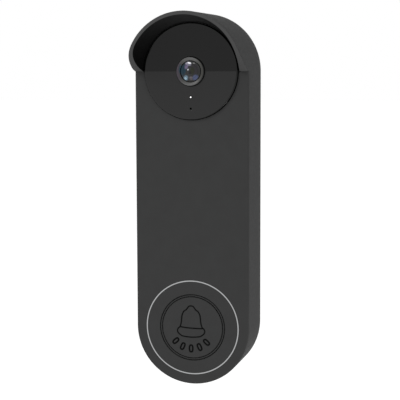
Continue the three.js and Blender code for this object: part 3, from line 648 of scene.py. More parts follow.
ring_finish = Finish("milky_ring", roughness=0.38, specular_ior_level=0.4, coat_weight=0.1)
ring_cloud = ring_finish.noise(420.0, 4.0, 0.6)
ring_specks = ring_finish.cells(1800.0) < 0.06
ring_tone = ring_finish.layers(
    grey(0.30), (ring_cloud, grey(0.40, (0.98, 1.0, 1.02))), (ring_specks * 0.3, grey(0.15)))
moved, distance = radius_about(ring_finish, -END)
off_core = abs(distance - (RING_INNER + RING_OUTER) / 2 / MM)
ring_tone = ring_finish.mix(ring_finish.range(off_core, RING_CORE, RING_CORE + 0.08),
                            ring_tone, grey(0.04))
ring_finish.paint(base_color=ring_tone, roughness=ring_finish.spread(ring_cloud, 0.3, 0.45),
                  normal=ring_finish.bump(ring_finish.noise(3000.0), 0.01 * MM, 0.4))
ring_profile = [(RING_INNER, SKIN_BACK)]
ring_profile += eased((RING_INNER + RING_EASE, FACE + RING_EASE), RING_EASE, 180)
ring_profile += [((RING_INNER + RING_OUTER) / 2, FACE - RING_CROWN)]
ring_profile += eased((RING_OUTER - RING_EASE, FACE + RING_EASE), RING_EASE, 270)
ring_profile += [(RING_OUTER, SKIN_BACK)]
ring = turned("light_ring", ring_profile, ring_finish.material, -END, count=192)
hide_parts("light_ring_inlay")
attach(ring, "sleeve")

# ---- Button surround ----
# The dark annulus inside the light ring, in the sleeve's own silicone. Its inner edge steps
# down to a thin web that carries the pad and lets it move.
surround_low, surround_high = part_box("button_surround")
SURROUND_OUTER = (surround_high.x - surround_low.x) / 2
PAD_RADIUS = (pad_high.x - pad_low.x) / 2
GROOVE_OUTER = PAD_RADIUS + 1.25 * MM
WEB_INNER = PAD_RADIUS + 0.03 * MM
WEB_FRONT = SKIN_BACK - 0.45 * MM
EDGE = 0.22 * MM
OUTER_EASE = 0.06 * MM
BEAD = [(0.28, 1.05), (0.36, 0.35), (0.46, 0.18), (0.62, 0.12), (0.78, 0.18), (0.88, 0.35),
        (0.96, 1.05), (1.15, 0.99), (1.25, 0.8)]
surround_profile = [(WEB_INNER, SKIN_BACK), (WEB_INNER, WEB_FRONT)]
surround_profile += [(PAD_RADIUS + gap * MM, FACE + drop * MM) for gap, drop in BEAD]
surround_profile += eased((GROOVE_OUTER + EDGE, FACE + EDGE), EDGE, 180)
surround_profile += eased((SURROUND_OUTER - OUTER_EASE, FACE + OUTER_EASE), OUTER_EASE, 270, 2)
surround_profile += [(SURROUND_OUTER, SKIN_BACK)]
surround = turned("button_surround_and_web", surround_profile, sleeve_silicone, -END, count=160)
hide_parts("button_surround")
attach(surround, "sleeve")

# ---- Button pad ----
# The part a finger presses: a silicone disc with a small bell and a fan of five sound marks
# pressed into its face as grooves, painted darker inside as shade.
GROOVE_DEPTH = 0.3 * MM
BELL_LEFT = 0.55
BELL_LINE = 0.3 * MM
MARK_LINE = 0.4 * MM
BELL_SIDE = [(0.0, 9.3), (0.9, 9.1), (1.5, 8.4), (2.1, 7.6), (3.1, 6.9), (3.85, 5.5), (4.1, 4.0),
             (4.25, 2.4), (4.5, 1.2), (4.9, 0.1), (5.6, -0.5), (6.0, -1.4), (5.75, -2.4),
             (4.9, -3.2), (3.9, -3.8), (2.0, -4.1), (0.0, -4.2)]
BELL_WAIST = [(-4.7, 0.1), (-2.6, -0.15), (0.0, -0.3), (2.6, -0.35), (4.9, -0.3)]
MARK_CENTRES = 9.1
MARK_FAN = [-48, -24, 0, 24, 48]
MARK_HALF = (0.72, 1.45)
MARK_CORNER = 0.7


def curve_through(points):
    """A smooth line through points, by Catmull and Rom's rule."""
    steps = 6
    ends = [points[0], *points, points[-1]]
    line = []
    for a, b, c, d in zip(ends, ends[1:], ends[2:], ends[3:]):
        for i in range(steps):
            t = i / steps
            line.append(tuple(
                0.5 * (2 * q + (r - p) * t + (2 * p - 5 * q + 4 * r - s) * t * t
                       + (3 * q - p - 3 * r + s) * t ** 3)
                for p, q, r, s in zip(a, b, c, d)))
    line.append(points[-1])
    return line


def reach_to(line, x, z):
    """Distance from every (x, z) to a line of points."""
    nearest = np.full(x.shape, np.inf)
    for (x0, z0), (x1, z1) in zip(line, line[1:]):
        along_x, along_z = x1 - x0, z1 - z0
        length = along_x ** 2 + along_z ** 2 + 1e-12
        share = np.clip(((x - x0) * along_x + (z - z0) * along_z) / length, 0, 1)
        gap = np.hypot(x - x0 - share * along_x, z - z0 - share * along_z)
        nearest = np.minimum(nearest, gap)
    return nearest


def mark_outline(degrees):
    """A rounded slot, standing on the arc below the bell and leaning with the fan."""
    lean = math.radians(degrees)
    half_x, half_z = MARK_HALF
    outline = []
    for turn in (2 * math.pi * i / 28 for i in range(29)):
        across = half_x * math.copysign(abs(math.cos(turn)) ** MARK_CORNER, math.cos(turn))
        along = half_z * math.copysign(abs(math.sin(turn)) ** MARK_CORNER, math.sin(turn))
        out = MARK_CENTRES + along
        outline.append((out * math.sin(lean) + across * math.cos(lean),
                        -out * math.cos(lean) + across * math.sin(lean)))
    return outline


def groove(gap, half):
    """1 on the groove's floor, 0 past its edge, with a sloping wall between."""
    share = np.clip((gap / half - 0.45) / 0.75, 0, 1)
    return 1 - share * share * (3 - 2 * share)


def engraving(x, z):
    """How deep the pad's face is engraved at (x, z), as a share of the groove's depth."""
    x, z = x / MM + BELL_LEFT, z / MM
    bell = curve_through(BELL_SIDE)
    mirrored = [(-px, pz) for px, pz in bell]
    gap = np.minimum(reach_to(bell, x, z), reach_to(mirrored, x, z))
    gap = np.minimum(gap, reach_to(curve_through(BELL_WAIST), x, z))
    depth = groove(gap, BELL_LINE / MM)
    for degrees in MARK_FAN:
        outline = mark_outline(degrees)
        depth = np.maximum(depth, groove(reach_to(outline, x, z), MARK_LINE / MM))
    return depth


PAD_EDGE = 0.3 * MM
PAD_CELLS = 200
steps = np.linspace(-1, 1, PAD_CELLS + 1)
across, up = np.meshgrid(steps, steps)
wide = np.abs(across) > np.abs(up)
span = np.where(wide, across, up)
lead = np.where(wide, up, across) / np.where(span == 0, 1, span)
turn = np.where(wide, math.pi / 4 * lead, math.pi / 2 - math.pi / 4 * lead)
face_radius = PAD_RADIUS - PAD_EDGE
grid_x = face_radius * span * np.cos(turn)
grid_z = face_radius * span * np.sin(turn)
depth = engraving(grid_x, grid_z)
pad_mesh = Moulding()
top = pad_mesh.loop([
    (x, FACE + GROOVE_DEPTH * d, z - END)
    for x, z, d in zip(grid_x.ravel(), grid_z.ravel(), depth.ravel())])
row = PAD_CELLS + 1
for i in range(PAD_CELLS):
    for j in range(PAD_CELLS):
        k = i * row + j
        pad_mesh.face((top[k], top[k + 1], top[k + row + 1], top[k + row]))
rim = list(range(PAD_CELLS))
rim += [i * row + PAD_CELLS for i in range(PAD_CELLS)]
rim += [PAD_CELLS * row + j for j in range(PAD_CELLS, 0, -1)]
rim += [i * row for i in range(PAD_CELLS, 0, -1)]
edge_loops = [[top[k] for k in rim]]
turns = [math.atan2(pad_mesh.points[k][2] + END, pad_mesh.points[k][0]) for k in rim]
for radius, y in (eased((PAD_RADIUS - PAD_EDGE, FACE + PAD_EDGE), PAD_EDGE, 270)[1:]
                  + [(PAD_RADIUS, SKIN_BACK - 0.1 * MM), (PAD_RADIUS - 0.1 * MM, SKIN_BACK)]):
    edge_loops.append(pad_mesh.loop([
        (radius * math.cos(t), y, radius * math.sin(t) - END) for t in turns]))
pad_mesh.strips(edge_loops)
pad_mesh.fan(edge_loops[-1], (0, SKIN_BACK, -END))
pad = pad_mesh.make("button_pad_with_bell", silicone("pad_silicone", "engraved"), crease=60)
pad.data.polygons.foreach_set("use_smooth", [True] * len(pad.data.polygons))
points = np.zeros(len(pad.data.vertices) * 3)
pad.data.vertices.foreach_get("co", points)
points = points.reshape(-1, 3)
in_face = np.hypot(points[:, 0], points[:, 2] + END) < face_radius + 0.01 * MM
front = in_face & (points[:, 1] < FACE + GROOVE_DEPTH * 1.01)
# The groove depth at each point, which the silicone turns into painted shade in the grooves.
engraved = pad.data.attributes.new("engraved", "FLOAT", "POINT")
engraved.data.foreach_set(
    "value", np.where(front, np.clip((points[:, 1] - FACE) / GROOVE_DEPTH, 0, 1), 0))
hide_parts("button_pad")
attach(pad, "pad")

# ---- Camera window ----
# A disc of smoked acrylic, bonded to the housing and standing a millimetre proud of the
# sleeve. Its upper half is painted darker as the hood's shadow, a crescent of painted shade
# lies along its right edge, and its rim is painted black. It has a hole for the lens, a small
# one for the status light and a smaller one for the microphone.
WINDOW_FRONT = window_low.y
WINDOW_BACK = window_high.y
WINDOW_EDGE = 0.3 * MM
RIM_BEVEL = 0.1 * MM
pipe_low, pipe_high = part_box("status_light_pipe")
boot_low, boot_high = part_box("mic_boot")
STATUS_Z = (pipe_low.z + pipe_high.z) / 2
MIC_Z = (boot_low.z + boot_high.z) / 2
LENS_HOLE = 6.15 * MM
STATUS_HOLE = 0.6 * MM
MIC_HOLE = 0.45 * MM

acrylic = Finish("smoked_acrylic", specular_ior_level=0.25)
height = acrylic.axis("Z")
# Painted shadow of the hood: the upper half is darker, with a straight edge at the lens centre.
hood_shadow_mask = acrylic.range(height, END - 0.03 * MM, END + 0.03 * MM)
haze = acrylic.noise(60.0, 3.0)
lower = acrylic.mix(haze, grey(0.0115), grey(0.014))
upper = acrylic.mix(haze, grey(0.0008), grey(0.002))
dust = (acrylic.cells(1100.0) < 0.03) * 0.25
tone = acrylic.mix(dust, acrylic.mix(hood_shadow_mask, lower, upper), grey(0.05))
# A thin crescent of painted shade along the face's right edge.
moved, distance = radius_about(acrylic, END)
side_on = acrylic.axis("X", moved)
right_edge_shade = acrylic.range(distance + side_on * 22.0, 19.8, 19.9)
tone = acrylic.mix(right_edge_shade, tone, grey(0.0008))
smears = acrylic.noise(45.0, 5.0, 0.65)
acrylic.paint(base_color=tone, roughness=acrylic.range(smears, 0.35, 0.75, 0.06, 0.13),
              normal=acrylic.bump(acrylic.noise(90.0, 1.0), 0.02 * MM, 0.12))
rim_black = Finish("rim_black", specular_ior_level=0.08, roughness=0.85)
rim_cloud = rim_black.noise(900.0)
rim_black.paint(base_color=rim_black.mix(rim_cloud, grey(0.0008), grey(0.002)),
                normal=rim_black.bump(rim_cloud, 0.01 * MM, 0.3))

disc = Moulding()


def drilled(radius, centre_z, ease, count):
    """A round hole through the disc with both edges eased; gives its two end loops."""
    front = rounded(radius, WINDOW_FRONT, ease, 3)[::-1]
    back = rounded(radius, WINDOW_BACK, ease, 3, 1, -1)
    loops = [disc.loop(circle(out, y, 0, centre_z, count)) for out, y in front + back]
    disc.strips(loops[:len(front)])
    disc.band = 1
    disc.strips(loops[len(front) - 1:])
    disc.band = 0
    return loops[0], loops[-1]


shoulder = [disc.loop(circle(out, y, 0, END, 192)) for out, y in
            rounded(WINDOW_RADIUS, WINDOW_FRONT, WINDOW_EDGE, 5, -1)[::-1]]
disc.strips(shoulder)
disc.band = 1
side = [shoulder[-1],
        disc.loop(circle(WINDOW_RADIUS, WINDOW_BACK - RIM_BEVEL, 0, END, 192)),
        disc.loop(circle(WINDOW_RADIUS - RIM_BEVEL, WINDOW_BACK, 0, END, 192))]
disc.strips(side)
disc.band = 0
holes = [drilled(LENS_HOLE, END, 0.1 * MM, 96),
         drilled(STATUS_HOLE, STATUS_Z, 0.06 * MM, 32),
         drilled(MIC_HOLE, MIC_Z, 0.06 * MM, 32)]
disc.flat(shoulder[0], [front for front, back in holes])
disc.band = 1
disc.flat(side[-1], [back for front, back in holes])
window = disc.make("camera_window_disc", acrylic.material, rim_black.material)
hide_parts("camera_window")
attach(window, "doorbell")

# ---- Lens bezel ----
# A turned aluminium ring round the front glass, anodised grey, matt on its outer side, with
# painted highlights at its top and bottom, painted reflections, violet on its left and teal at
# its inner left, and painted shade on its outer side at the right.
bezel_low, bezel_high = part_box("lens_bezel")
glass_low, glass_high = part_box("lens_front_element")
BEZEL_RADIUS = (bezel_high.x - bezel_low.x) / 2
GLASS_RADIUS = (glass_high.x - glass_low.x) / 2
BEZEL_INNER = GLASS_RADIUS + 0.15 * MM
BEZEL_FRONT = bezel_low.y
BEZEL_BACK = bezel_high.y
PATCH_CORE = 0.6


def patch(finish, moved, x, z, half_x, half_z, lean):
    """1 inside a leaning oval on the glass, falling softly to 0 at its edge."""
    turned_by = finish.node("Mapping", {"vector_type": "TEXTURE"}, {
        "Vector": moved, "Location": (x * MM, 0, z * MM), "Rotation": (0, lean, 0),
        "Scale": (half_x * MM, 1.0, half_z * MM)})
    return finish.range(level_length(finish, turned_by), 1.0, PATCH_CORE)


anodised = Finish("anodised_ring", specular_ior_level=0.3)
moved, distance = radius_about(anodised, END)
turning = (distance * 45.0).sine()
bezel_cloud = anodised.noise(500.0)
bezel_tone = anodised.mix(bezel_cloud, grey(0.022, (1.0, 1.0, 0.86)),
                          grey(0.042, (1.0, 1.0, 0.88)))
bezel_z = anodised.axis("Z", moved)
bezel_x = anodised.axis("X", moved)
# Painted light: highlights on the top and bottom, a violet reflection on the left, a teal
# reflection at the inner left, and shade on the outer side at the right.
bezel_end_highlights = anodised.range(bezel_z * bezel_z * 1e6, 8.0, 30.0)
bezel_left_reflection = anodised.range(bezel_x, -3.4 * MM, -5.0 * MM)
shade_side = anodised.range(distance + bezel_x * 55.0, 5.82, 5.92)
bezel_teal_reflection = patch(anodised, moved, -4.35, 1.0, 0.75, 2.2, 0.12)
bezel_tone = anodised.layers(
    bezel_tone, (bezel_end_highlights, grey(0.09)), (bezel_left_reflection * 0.5, (0.05, 0.035, 0.06, 1)),
    (shade_side, grey(0.001)), (anodised.range(distance, 4.55, 4.45), grey(0.006)),
    (bezel_teal_reflection * 0.9, (0.006, 0.026, 0.042, 1)))
anodised.paint(base_color=bezel_tone,
               roughness=anodised.range(distance, 5.82, 5.9, 0.36, 0.9),
               normal=anodised.bump(turning, 0.004 * MM, 0.5))
bezel_profile = [(BEZEL_INNER, BEZEL_BACK), (BEZEL_INNER, WINDOW_FRONT + 0.1 * MM),
                 (BEZEL_INNER + 0.1 * MM, WINDOW_FRONT - 0.12 * MM),
                 (4.6 * MM, BEZEL_FRONT + 0.45 * MM), (4.7 * MM, BEZEL_FRONT + 0.42 * MM),
                 (5.3 * MM, BEZEL_FRONT + 0.06 * MM)]
bezel_profile += eased((BEZEL_RADIUS - 0.22 * MM, BEZEL_FRONT + 0.22 * MM), 0.22 * MM, 270)
bezel_profile += [(BEZEL_RADIUS, BEZEL_BACK)]
bezel = turned("lens_bezel_ring", bezel_profile, anodised.material, END)
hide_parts("lens_bezel")
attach(bezel, "doorbell")

# ---- Front glass of the lens ----
# A domed glass. Painted reflections, in the tints of its thin coatings, colour it teal, blue
# and violet in patches round a dark pupil; a painted highlight lies as a bright crescent under
# its upper edge, with a small painted glint left of its centre.
GLASS_EDGE = WINDOW_FRONT
coated = Finish("coated_glass", roughness=0.05, specular_ior_level=0.2)
moved, distance = radius_about(coated, END)
sheen = coated.noise(260.0, 2.0, 0.5, place=moved)
tone = coated.mix(sheen, grey(0.012, (0.9, 0.95, 1.0)), grey(0.035, (0.95, 0.97, 1.0)))
# Painted reflections and highlights, each a leaning oval: teal, blue, violet and pale patches, a
# white crescent near the top and a glint left of the centre.
for x, z, half_x, half_z, lean, colour in (
        (-3.0, 0.7, 1.5, 3.0, 0.15, (0.006, 0.026, 0.042, 1)),
        (1.9, 1.2, 1.8, 2.6, -0.3, (0.020, 0.018, 0.021, 1)),
        (0.9, 0.2, 1.1, 1.9, 0.2, (0.016, 0.018, 0.010, 1)),
        (-0.1, -0.6, 0.8, 0.8, 0.0, (0.010, 0.010, 0.011, 1)),
        (0.3, -2.8, 0.9, 0.9, 0.0, (0.085, 0.075, 0.085, 1)),
        (2.1, -2.5, 1.55, 1.2, -0.7, (0.055, 0.07, 0.14, 1)),
        (-2.0, -2.7, 1.2, 1.35, 0.5, (0.11, 0.17, 0.22, 1)),
        (-2.1, -2.9, 0.65, 0.8, 0.5, (0.25, 0.36, 0.43, 1)),
        (-1.7, 2.1, 0.95, 1.4, 0.4, (0.12, 0.10, 0.17, 1)),
        (-1.0, 3.2, 1.7, 0.85, 0.3, (0.22, 0.21, 0.27, 1)),
        (-0.5, 3.5, 1.0, 0.42, 0.2, (0.9, 0.9, 0.95, 1)),
        (1.45, 3.4, 0.6, 0.3, 0.2, (0.16, 0.16, 0.16, 1)),
        (-0.95, 0.75, 0.42, 0.42, 0.0, (0.42, 0.42, 0.46, 1))):
    tone = coated.mix(patch(coated, moved, x, z, half_x, half_z, lean), tone, colour)
rings = (distance * 4.6).sine()
tone = coated.layers(
    tone, (coated.range(rings, 0.55, 1.0, 0.0, 0.45), grey(0.007)),
    (coated.range(distance, 4.12, 4.25), grey(0.008)))
coated.paint(base_color=tone, normal=coated.bump(coated.noise(120.0, 1.0), 0.01 * MM, 0.1))
DOME = 0.75 * MM
DOME_STEPS = 24
glass_profile = [(GLASS_RADIUS * i / DOME_STEPS, GLASS_EDGE - DOME * (1 - (i / DOME_STEPS) ** 2))
                 for i in range(DOME_STEPS)]
glass_profile += [(GLASS_RADIUS - 0.03 * MM, GLASS_EDGE - 0.03 * MM), (GLASS_RADIUS, GLASS_EDGE),
                  (GLASS_RADIUS, glass_high.y), (0, glass_high.y)]
glass = turned("lens_front_glass", glass_profile, coated.material, END, count=72)
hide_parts("lens_front_element")
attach(glass, "doorbell")

# ---- Status light pipe ----
# A clear rod pressed through the window; its end glows white as the lit status light.
pipe_finish = Finish("light_pipe", roughness=0.15, emission_strength=0.6)
pipe_cloud = pipe_finish.noise(2500.0)
pipe_tone = pipe_finish.mix(pipe_cloud, grey(0.85), grey(0.95))
moved, distance = radius_about(pipe_finish, STATUS_Z)
pipe_tone = pipe_finish.mix(pipe_finish.range(distance, 0.26, 0.33), pipe_tone, grey(0.01))
pipe_finish.paint(base_color=pipe_tone, emission_color=pipe_tone,
                  roughness=pipe_finish.spread(pipe_cloud, 0.1, 0.2))
PIPE_RADIUS = (pipe_high.x - pipe_low.x) / 2
pipe_profile = [(0, pipe_low.y - 0.02 * MM), (PIPE_RADIUS * 0.5, pipe_low.y - 0.01 * MM)]
pipe_profile += eased((PIPE_RADIUS - 0.06 * MM, pipe_low.y + 0.06 * MM), 0.06 * MM, 270, 3)
pipe_profile += [(PIPE_RADIUS, pipe_high.y - 0.5 * MM), (PIPE_RADIUS * 0.8, pipe_high.y),
                 (0, pipe_high.y)]
pipe = turned("status_pipe", pipe_profile, pipe_finish.material, STATUS_Z, count=24)
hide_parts("status_light_pipe")
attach(pipe, "doorbell")

# ---- Housing shells and wall plate ----
# Three mouldings in dark grey polycarbonate blend: a front and a rear shell screwed together,
# and the plate on the wall that they hook on. They have the tool's fine spark texture, round
# marks of ejector pins inside and faint rubbing, and every opening has a broken edge.
front_low, front_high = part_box("front_housing")
rear_low, rear_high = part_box("rear_housing")
plate_low, plate_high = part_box("wall_plate")
usb_low, usb_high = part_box("usb_port")
reset_low, reset_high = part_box("reset_button")
screw_low, screw_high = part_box("case_screw_2")
HOUSING_RADIUS = (front_high.x - front_low.x) / 2
PLATE_RADIUS = -END - plate_low.z
HOUSING_EDGE = 0.5 * MM
WALL = 1.8 * MM
CAVITY_RADIUS = HOUSING_RADIUS - WALL
CAVITY_FRONT = front_low.y + WALL
RECESS_RADIUS = PLATE_RADIUS + 0.3 * MM
FLOOR_BACK = plate_low.y - 1.2 * MM
FLOOR_FRONT = FLOOR_BACK - WALL
BACK_CHAMFER = 0.3 * MM
PLATE_CHAMFER = 0.3 * MM
PLATE_SHOULDER = 0.09 * MM
BROKEN_EDGE = 0.15 * MM
BOSS_X = abs(screw_low.x + screw_high.x) / 2
BOSS_Z = abs(screw_low.z + screw_high.z) / 2
BOSSES = [(x, z) for x in (-BOSS_X, BOSS_X) for z in (-BOSS_Z, BOSS_Z)]
BOSS_RADIUS = 2.3 * MM
THREAD_HOLE = 1.2 * MM
CLEAR_HOLE = 1.3 * MM
CAMERA_HOLE = 17.5 * MM
BUTTON_HOLE = 14.6 * MM
GUIDE_GROOVE = (19.3 * MM, 20.7 * MM)
GUIDE_DEPTH = 0.9 * MM
SOUND_HOLE = (0.7 * MM, -15.5 * MM, -10.8 * MM)
SOUND_PITCH = 3 * MM
WALL_SCREW = 2.2 * MM
WALL_SCREW_TOP = 38.15 * MM
USB_HALF = (4.8 * MM, 1.8 * MM)
RESET_HOLE = 2.2 * MM
TERMINAL_HOLE = 1.6 * MM
LATCH_HALF = 4.2 * MM
TONGUE = (6 * MM, -3.2 * MM, -1.9 * MM)
TONGUE_SLOT_HALF = 6.3 * MM
TONGUE_SLOT = (-3.5 * MM, -1.6 * MM)
SERVICE_TOP = -28.95 * MM
HOOK_LOW = -49.95 * MM
HOOK_HALF = 5.2 * MM


def moulded(name, dark, light, grain=2600.0, gloss=(0.45, 0.62), pins=0.35, **constants):
    """Moulded plastic: spark texture, slow clouds, ejector pin marks and faint rubbing."""
    finish = Finish(name, specular_ior_level=0.35, **constants)
    texture = finish.noise(grain, 2.0, 0.7)
    cloud = finish.noise(42.0, 4.0, 0.6)
    long_way = finish.stretched(1.0, 1.0, 0.12)
    rubbed = finish.range(finish.noise(900.0, 3.0, 0.6, place=long_way), 0.62, 0.72)
    mark = finish.cells(46.0)
    ring = (mark > 0.088) * (mark < 0.1) * pins
    tone = finish.layers(
        dark, (cloud, light), (rubbed * 0.25, grey(min(1.0, light[0] * 1.6))),
        (ring, grey(dark[0] * 0.5)))
    finish.paint(base_color=tone, roughness=finish.spread(texture, *gloss),
                 normal=finish.bump(texture - ring, 0.012 * MM, 0.5))
    return finish.material


def pill(radius, y):
    """Two half circles about the ends of the body, joined by straight sides."""
    count = 48
    points = []
    for centre, start in ((END, 0.0), (-END, math.pi)):
        for i in range(count + 1):
            turn = start + math.pi * i / count
            points.append((radius * math.cos(turn), y, centre + radius * math.sin(turn)))
    return points


def pill_solid(name, profile, material):
    """Sweeps a (radius, y) line round the body and closes its two ends with flat faces."""
    solid = Moulding()
    loops = [solid.loop(pill(radius, y)) for radius, y in profile]
    solid.strips(loops)
    solid.flat(loops[0])
    solid.flat(loops[-1])
    return solid.make(name, material)


def bore(radius, front, back, x=0.0, z=0.0, ease=BROKEN_EDGE, count=32):
    """A round cutter from front to back that breaks the edges it leaves."""
    past = MM
    profile = [(0, front - past), (radius + ease, front - past), (radius + ease, front),
               (radius, front + ease), (radius, back - ease), (radius + ease, back),
               (radius + ease, back + past), (0, back + past)]
    return turned("tool", profile, housing_plastic, z, x, count)


def window_tool(x0, x1, z0, z1, front, back, corner=0.5 * MM, ease=BROKEN_EDGE, past=MM):
    """A cutter with rounded corners from front to back that breaks the edges it leaves."""
    tool = Moulding()
    loops = []
    for y, grow in ((front - past, ease), (front, ease), (front + ease, 0), (back - ease, 0),
                    (back, ease), (back + past, ease)):
        ring = []
        for x, z, start in ((x1, z1, 0), (x0, z1, 1), (x0, z0, 2), (x1, z0, 3)):
            inner_x = x - math.copysign(corner, x - (x0 + x1) / 2)
            inner_z = z - math.copysign(corner, z - (z0 + z1) / 2)
            for i in range(7):
                turn = math.pi / 2 * (start + i / 6)
                ring.append((inner_x + (corner + grow) * math.cos(turn), y,
                             inner_z + (corner + grow) * math.sin(turn)))
        loops.append(tool.loop(ring))
    tool.capped(loops)
    return tool.make("tool", housing_plastic)


def finish_shell(piece, node):
    smooth(piece)
    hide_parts(node)
    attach(piece, "doorbell")


housing_plastic = moulded("housing_plastic", grey(0.022), grey(0.034, (0.98, 1.0, 1.02)))
split = front_high.y
edge = rounded(HOUSING_RADIUS, front_low.y, HOUSING_EDGE, 4, -1)
front_shell = pill_solid("front_housing_shell", [
    (CAVITY_RADIUS, CAVITY_FRONT), (CAVITY_RADIUS, split - BROKEN_EDGE),
    (CAVITY_RADIUS + BROKEN_EDGE, split), (HOUSING_RADIUS - BROKEN_EDGE, split),
    (HOUSING_RADIUS, split - BROKEN_EDGE), *edge], housing_plastic)


def bosses(shell, foot, top, hole, front, back):
    """Adds the four screw posts to a shell and drills them from front to back."""
    post = [(0, foot), (BOSS_RADIUS, foot), (BOSS_RADIUS, top), (0, top)]
    for x, z in BOSSES:
        carve(shell, turned("tool", post, housing_plastic, z, x, 32), "UNION")
        carve(shell, bore(hole, front, back, x, z, count=24))


bosses(front_shell, CAVITY_FRONT - 0.5 * MM, split, THREAD_HOLE, split - 7 * MM, split)
carve(front_shell, bore(CAMERA_HOLE, front_low.y, CAVITY_FRONT, 0, END, 0.3 * MM, 128))
carve(front_shell, bore(BUTTON_HOLE, front_low.y, CAVITY_FRONT, 0, -END, 0.2 * MM, 112))
guide_groove = [(GUIDE_GROOVE[i], front_low.y + y)
                for i, y in ((0, GUIDE_DEPTH), (0, -MM), (1, -MM), (1, GUIDE_DEPTH))]
carve(front_shell, turned("tool", guide_groove, housing_plastic, -END, count=128))
for k in range(-2, 3):
    sound_hole = slot_tool(*SOUND_HOLE, -END - HOUSING_RADIUS - MM,
                           -END - CAVITY_RADIUS + 2 * MM, 0.65 * MM, 4)
    sound_hole.data.transform(Matrix.Translation((SOUND_PITCH * k, 0, 0)))
    carve(front_shell, sound_hole)
finish_shell(front_shell, "front_housing")

rear_shell = pill_solid("rear_housing_shell", [
    (CAVITY_RADIUS, FLOOR_FRONT), (CAVITY_RADIUS, rear_low.y + BROKEN_EDGE),
    (CAVITY_RADIUS + BROKEN_EDGE, rear_low.y), (HOUSING_RADIUS - BROKEN_EDGE, rear_low.y),
    (HOUSING_RADIUS, rear_low.y + BROKEN_EDGE), (HOUSING_RADIUS, rear_high.y - BACK_CHAMFER),
    (HOUSING_RADIUS - 0.1 * MM, rear_high.y - 0.1 * MM),
    (HOUSING_RADIUS - BACK_CHAMFER, rear_high.y), (RECESS_RADIUS + BACK_CHAMFER, rear_high.y),
    (RECESS_RADIUS, rear_high.y - BACK_CHAMFER), (RECESS_RADIUS, FLOOR_BACK)], housing_plastic)
bosses(rear_shell, rear_low.y, FLOOR_FRONT + 0.5 * MM, CLEAR_HOLE, rear_low.y, FLOOR_BACK)
usb_z = (usb_low.z + usb_high.z) / 2
terminal_low, terminal_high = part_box("terminal_screw_right")
TERMINAL_X = abs(terminal_low.x + terminal_high.x) / 2
TERMINAL_Z = (terminal_low.z + terminal_high.z) / 2
carve(rear_shell, window_tool(-USB_HALF[0], USB_HALF[0], usb_z - USB_HALF[1],
                              usb_z + USB_HALF[1], FLOOR_FRONT, FLOOR_BACK, 1.6 * MM))
carve(rear_shell, bore(RESET_HOLE, FLOOR_FRONT, FLOOR_BACK, (reset_low.x + reset_high.x) / 2,
                       (reset_low.z + reset_high.z) / 2))
for x in (-TERMINAL_X, TERMINAL_X):
    carve(rear_shell, bore(TERMINAL_HOLE, FLOOR_FRONT, FLOOR_BACK, x, TERMINAL_Z))
latch_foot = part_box("release_latch")[0].z
spring_low, spring_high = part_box("latch_spring")
carve(rear_shell, window_tool(-LATCH_HALF, LATCH_HALF, latch_foot - 0.4 * MM,
                              spring_high.z + 0.2 * MM, FLOOR_BACK - 1.2 * MM + BROKEN_EDGE,
                              FLOOR_BACK, past=BROKEN_EDGE))
carve(rear_shell, window_tool(-TONGUE_SLOT_HALF, TONGUE_SLOT_HALF, END,
                              END + RECESS_RADIUS + 2 * MM, *TONGUE_SLOT, ease=0.0,
                              past=0.01 * MM))
pin_bore = slot_tool(0.9 * MM, FLOOR_BACK - 1.5 * MM, FLOOR_BACK + 0.3 * MM,
                     -END - HOUSING_RADIUS - MM, latch_foot, 0.899 * MM)
carve(rear_shell, pin_bore)
finish_shell(rear_shell, "rear_housing")

plate_plastic = moulded("wall_plate_plastic", grey(0.03), grey(0.042), 1900.0, (0.5, 0.68), 0.5)
plate = pill_solid("wall_plate_moulding", [
    (PLATE_RADIUS - PLATE_CHAMFER, plate_low.y),
    (PLATE_RADIUS - PLATE_SHOULDER, plate_low.y + PLATE_SHOULDER),
    (PLATE_RADIUS, plate_low.y + PLATE_CHAMFER), (PLATE_RADIUS, -PLATE_CHAMFER),
    (PLATE_RADIUS - PLATE_SHOULDER, -PLATE_SHOULDER),
    (PLATE_RADIUS - PLATE_CHAMFER, 0)], plate_plastic)
service_half = TERMINAL_X + 5.5 * MM
service_low = TERMINAL_Z - 5 * MM
carve(plate, slot_tool(*TONGUE, END, plate_high.z, 0.3 * MM, 3), "UNION")
carve(plate, window_tool(-service_half, service_half, service_low, SERVICE_TOP, plate_low.y, 0,
                         1.2 * MM, 0.3 * MM))
carve(plate, window_tool(-HOOK_HALF, HOOK_HALF, HOOK_LOW, service_low + 2 * MM, plate_low.y, 0,
                         0.6 * MM, 0.2 * MM))
carve(plate, window_tool(-HOOK_HALF, HOOK_HALF, HOOK_LOW - 3 * MM, HOOK_LOW + MM, -2.2 * MM, 0,
                         0.5 * MM, 0.05 * MM, 0.01 * MM))
head_seat = [(radius * MM, plate_low.y + y * MM) for radius, y in (
    (0, -1.0), (4.8, -1.0), (4.8, 0.0), (4.5, 0.3), (4.5, 1.3), (4.3, 1.5), (0, 1.5))]
for z in (WALL_SCREW_TOP, SERVICE_TOP + 11 * MM):
    carve(plate, bore(WALL_SCREW, plate_low.y, 0, 0, z, 0.3 * MM, 40))
    carve(plate, turned("tool", head_seat, plate_plastic, z, 0, 48))
finish_shell(plate, "wall_plate")

# ---- Black and white inner mouldings ----
# Glass-filled black plastic carries the lens, the camera, the battery and the speaker; smooth
# white acetal is used where parts slide or press, and red for the reset button. Moulded, then
# pressed or screwed into the shells.


def dress(material, *nodes):
    """Puts a material on CAD nodes whose shape is right as it is."""
    for name in nodes:
        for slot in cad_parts[name].material_slots:
            slot.material = material


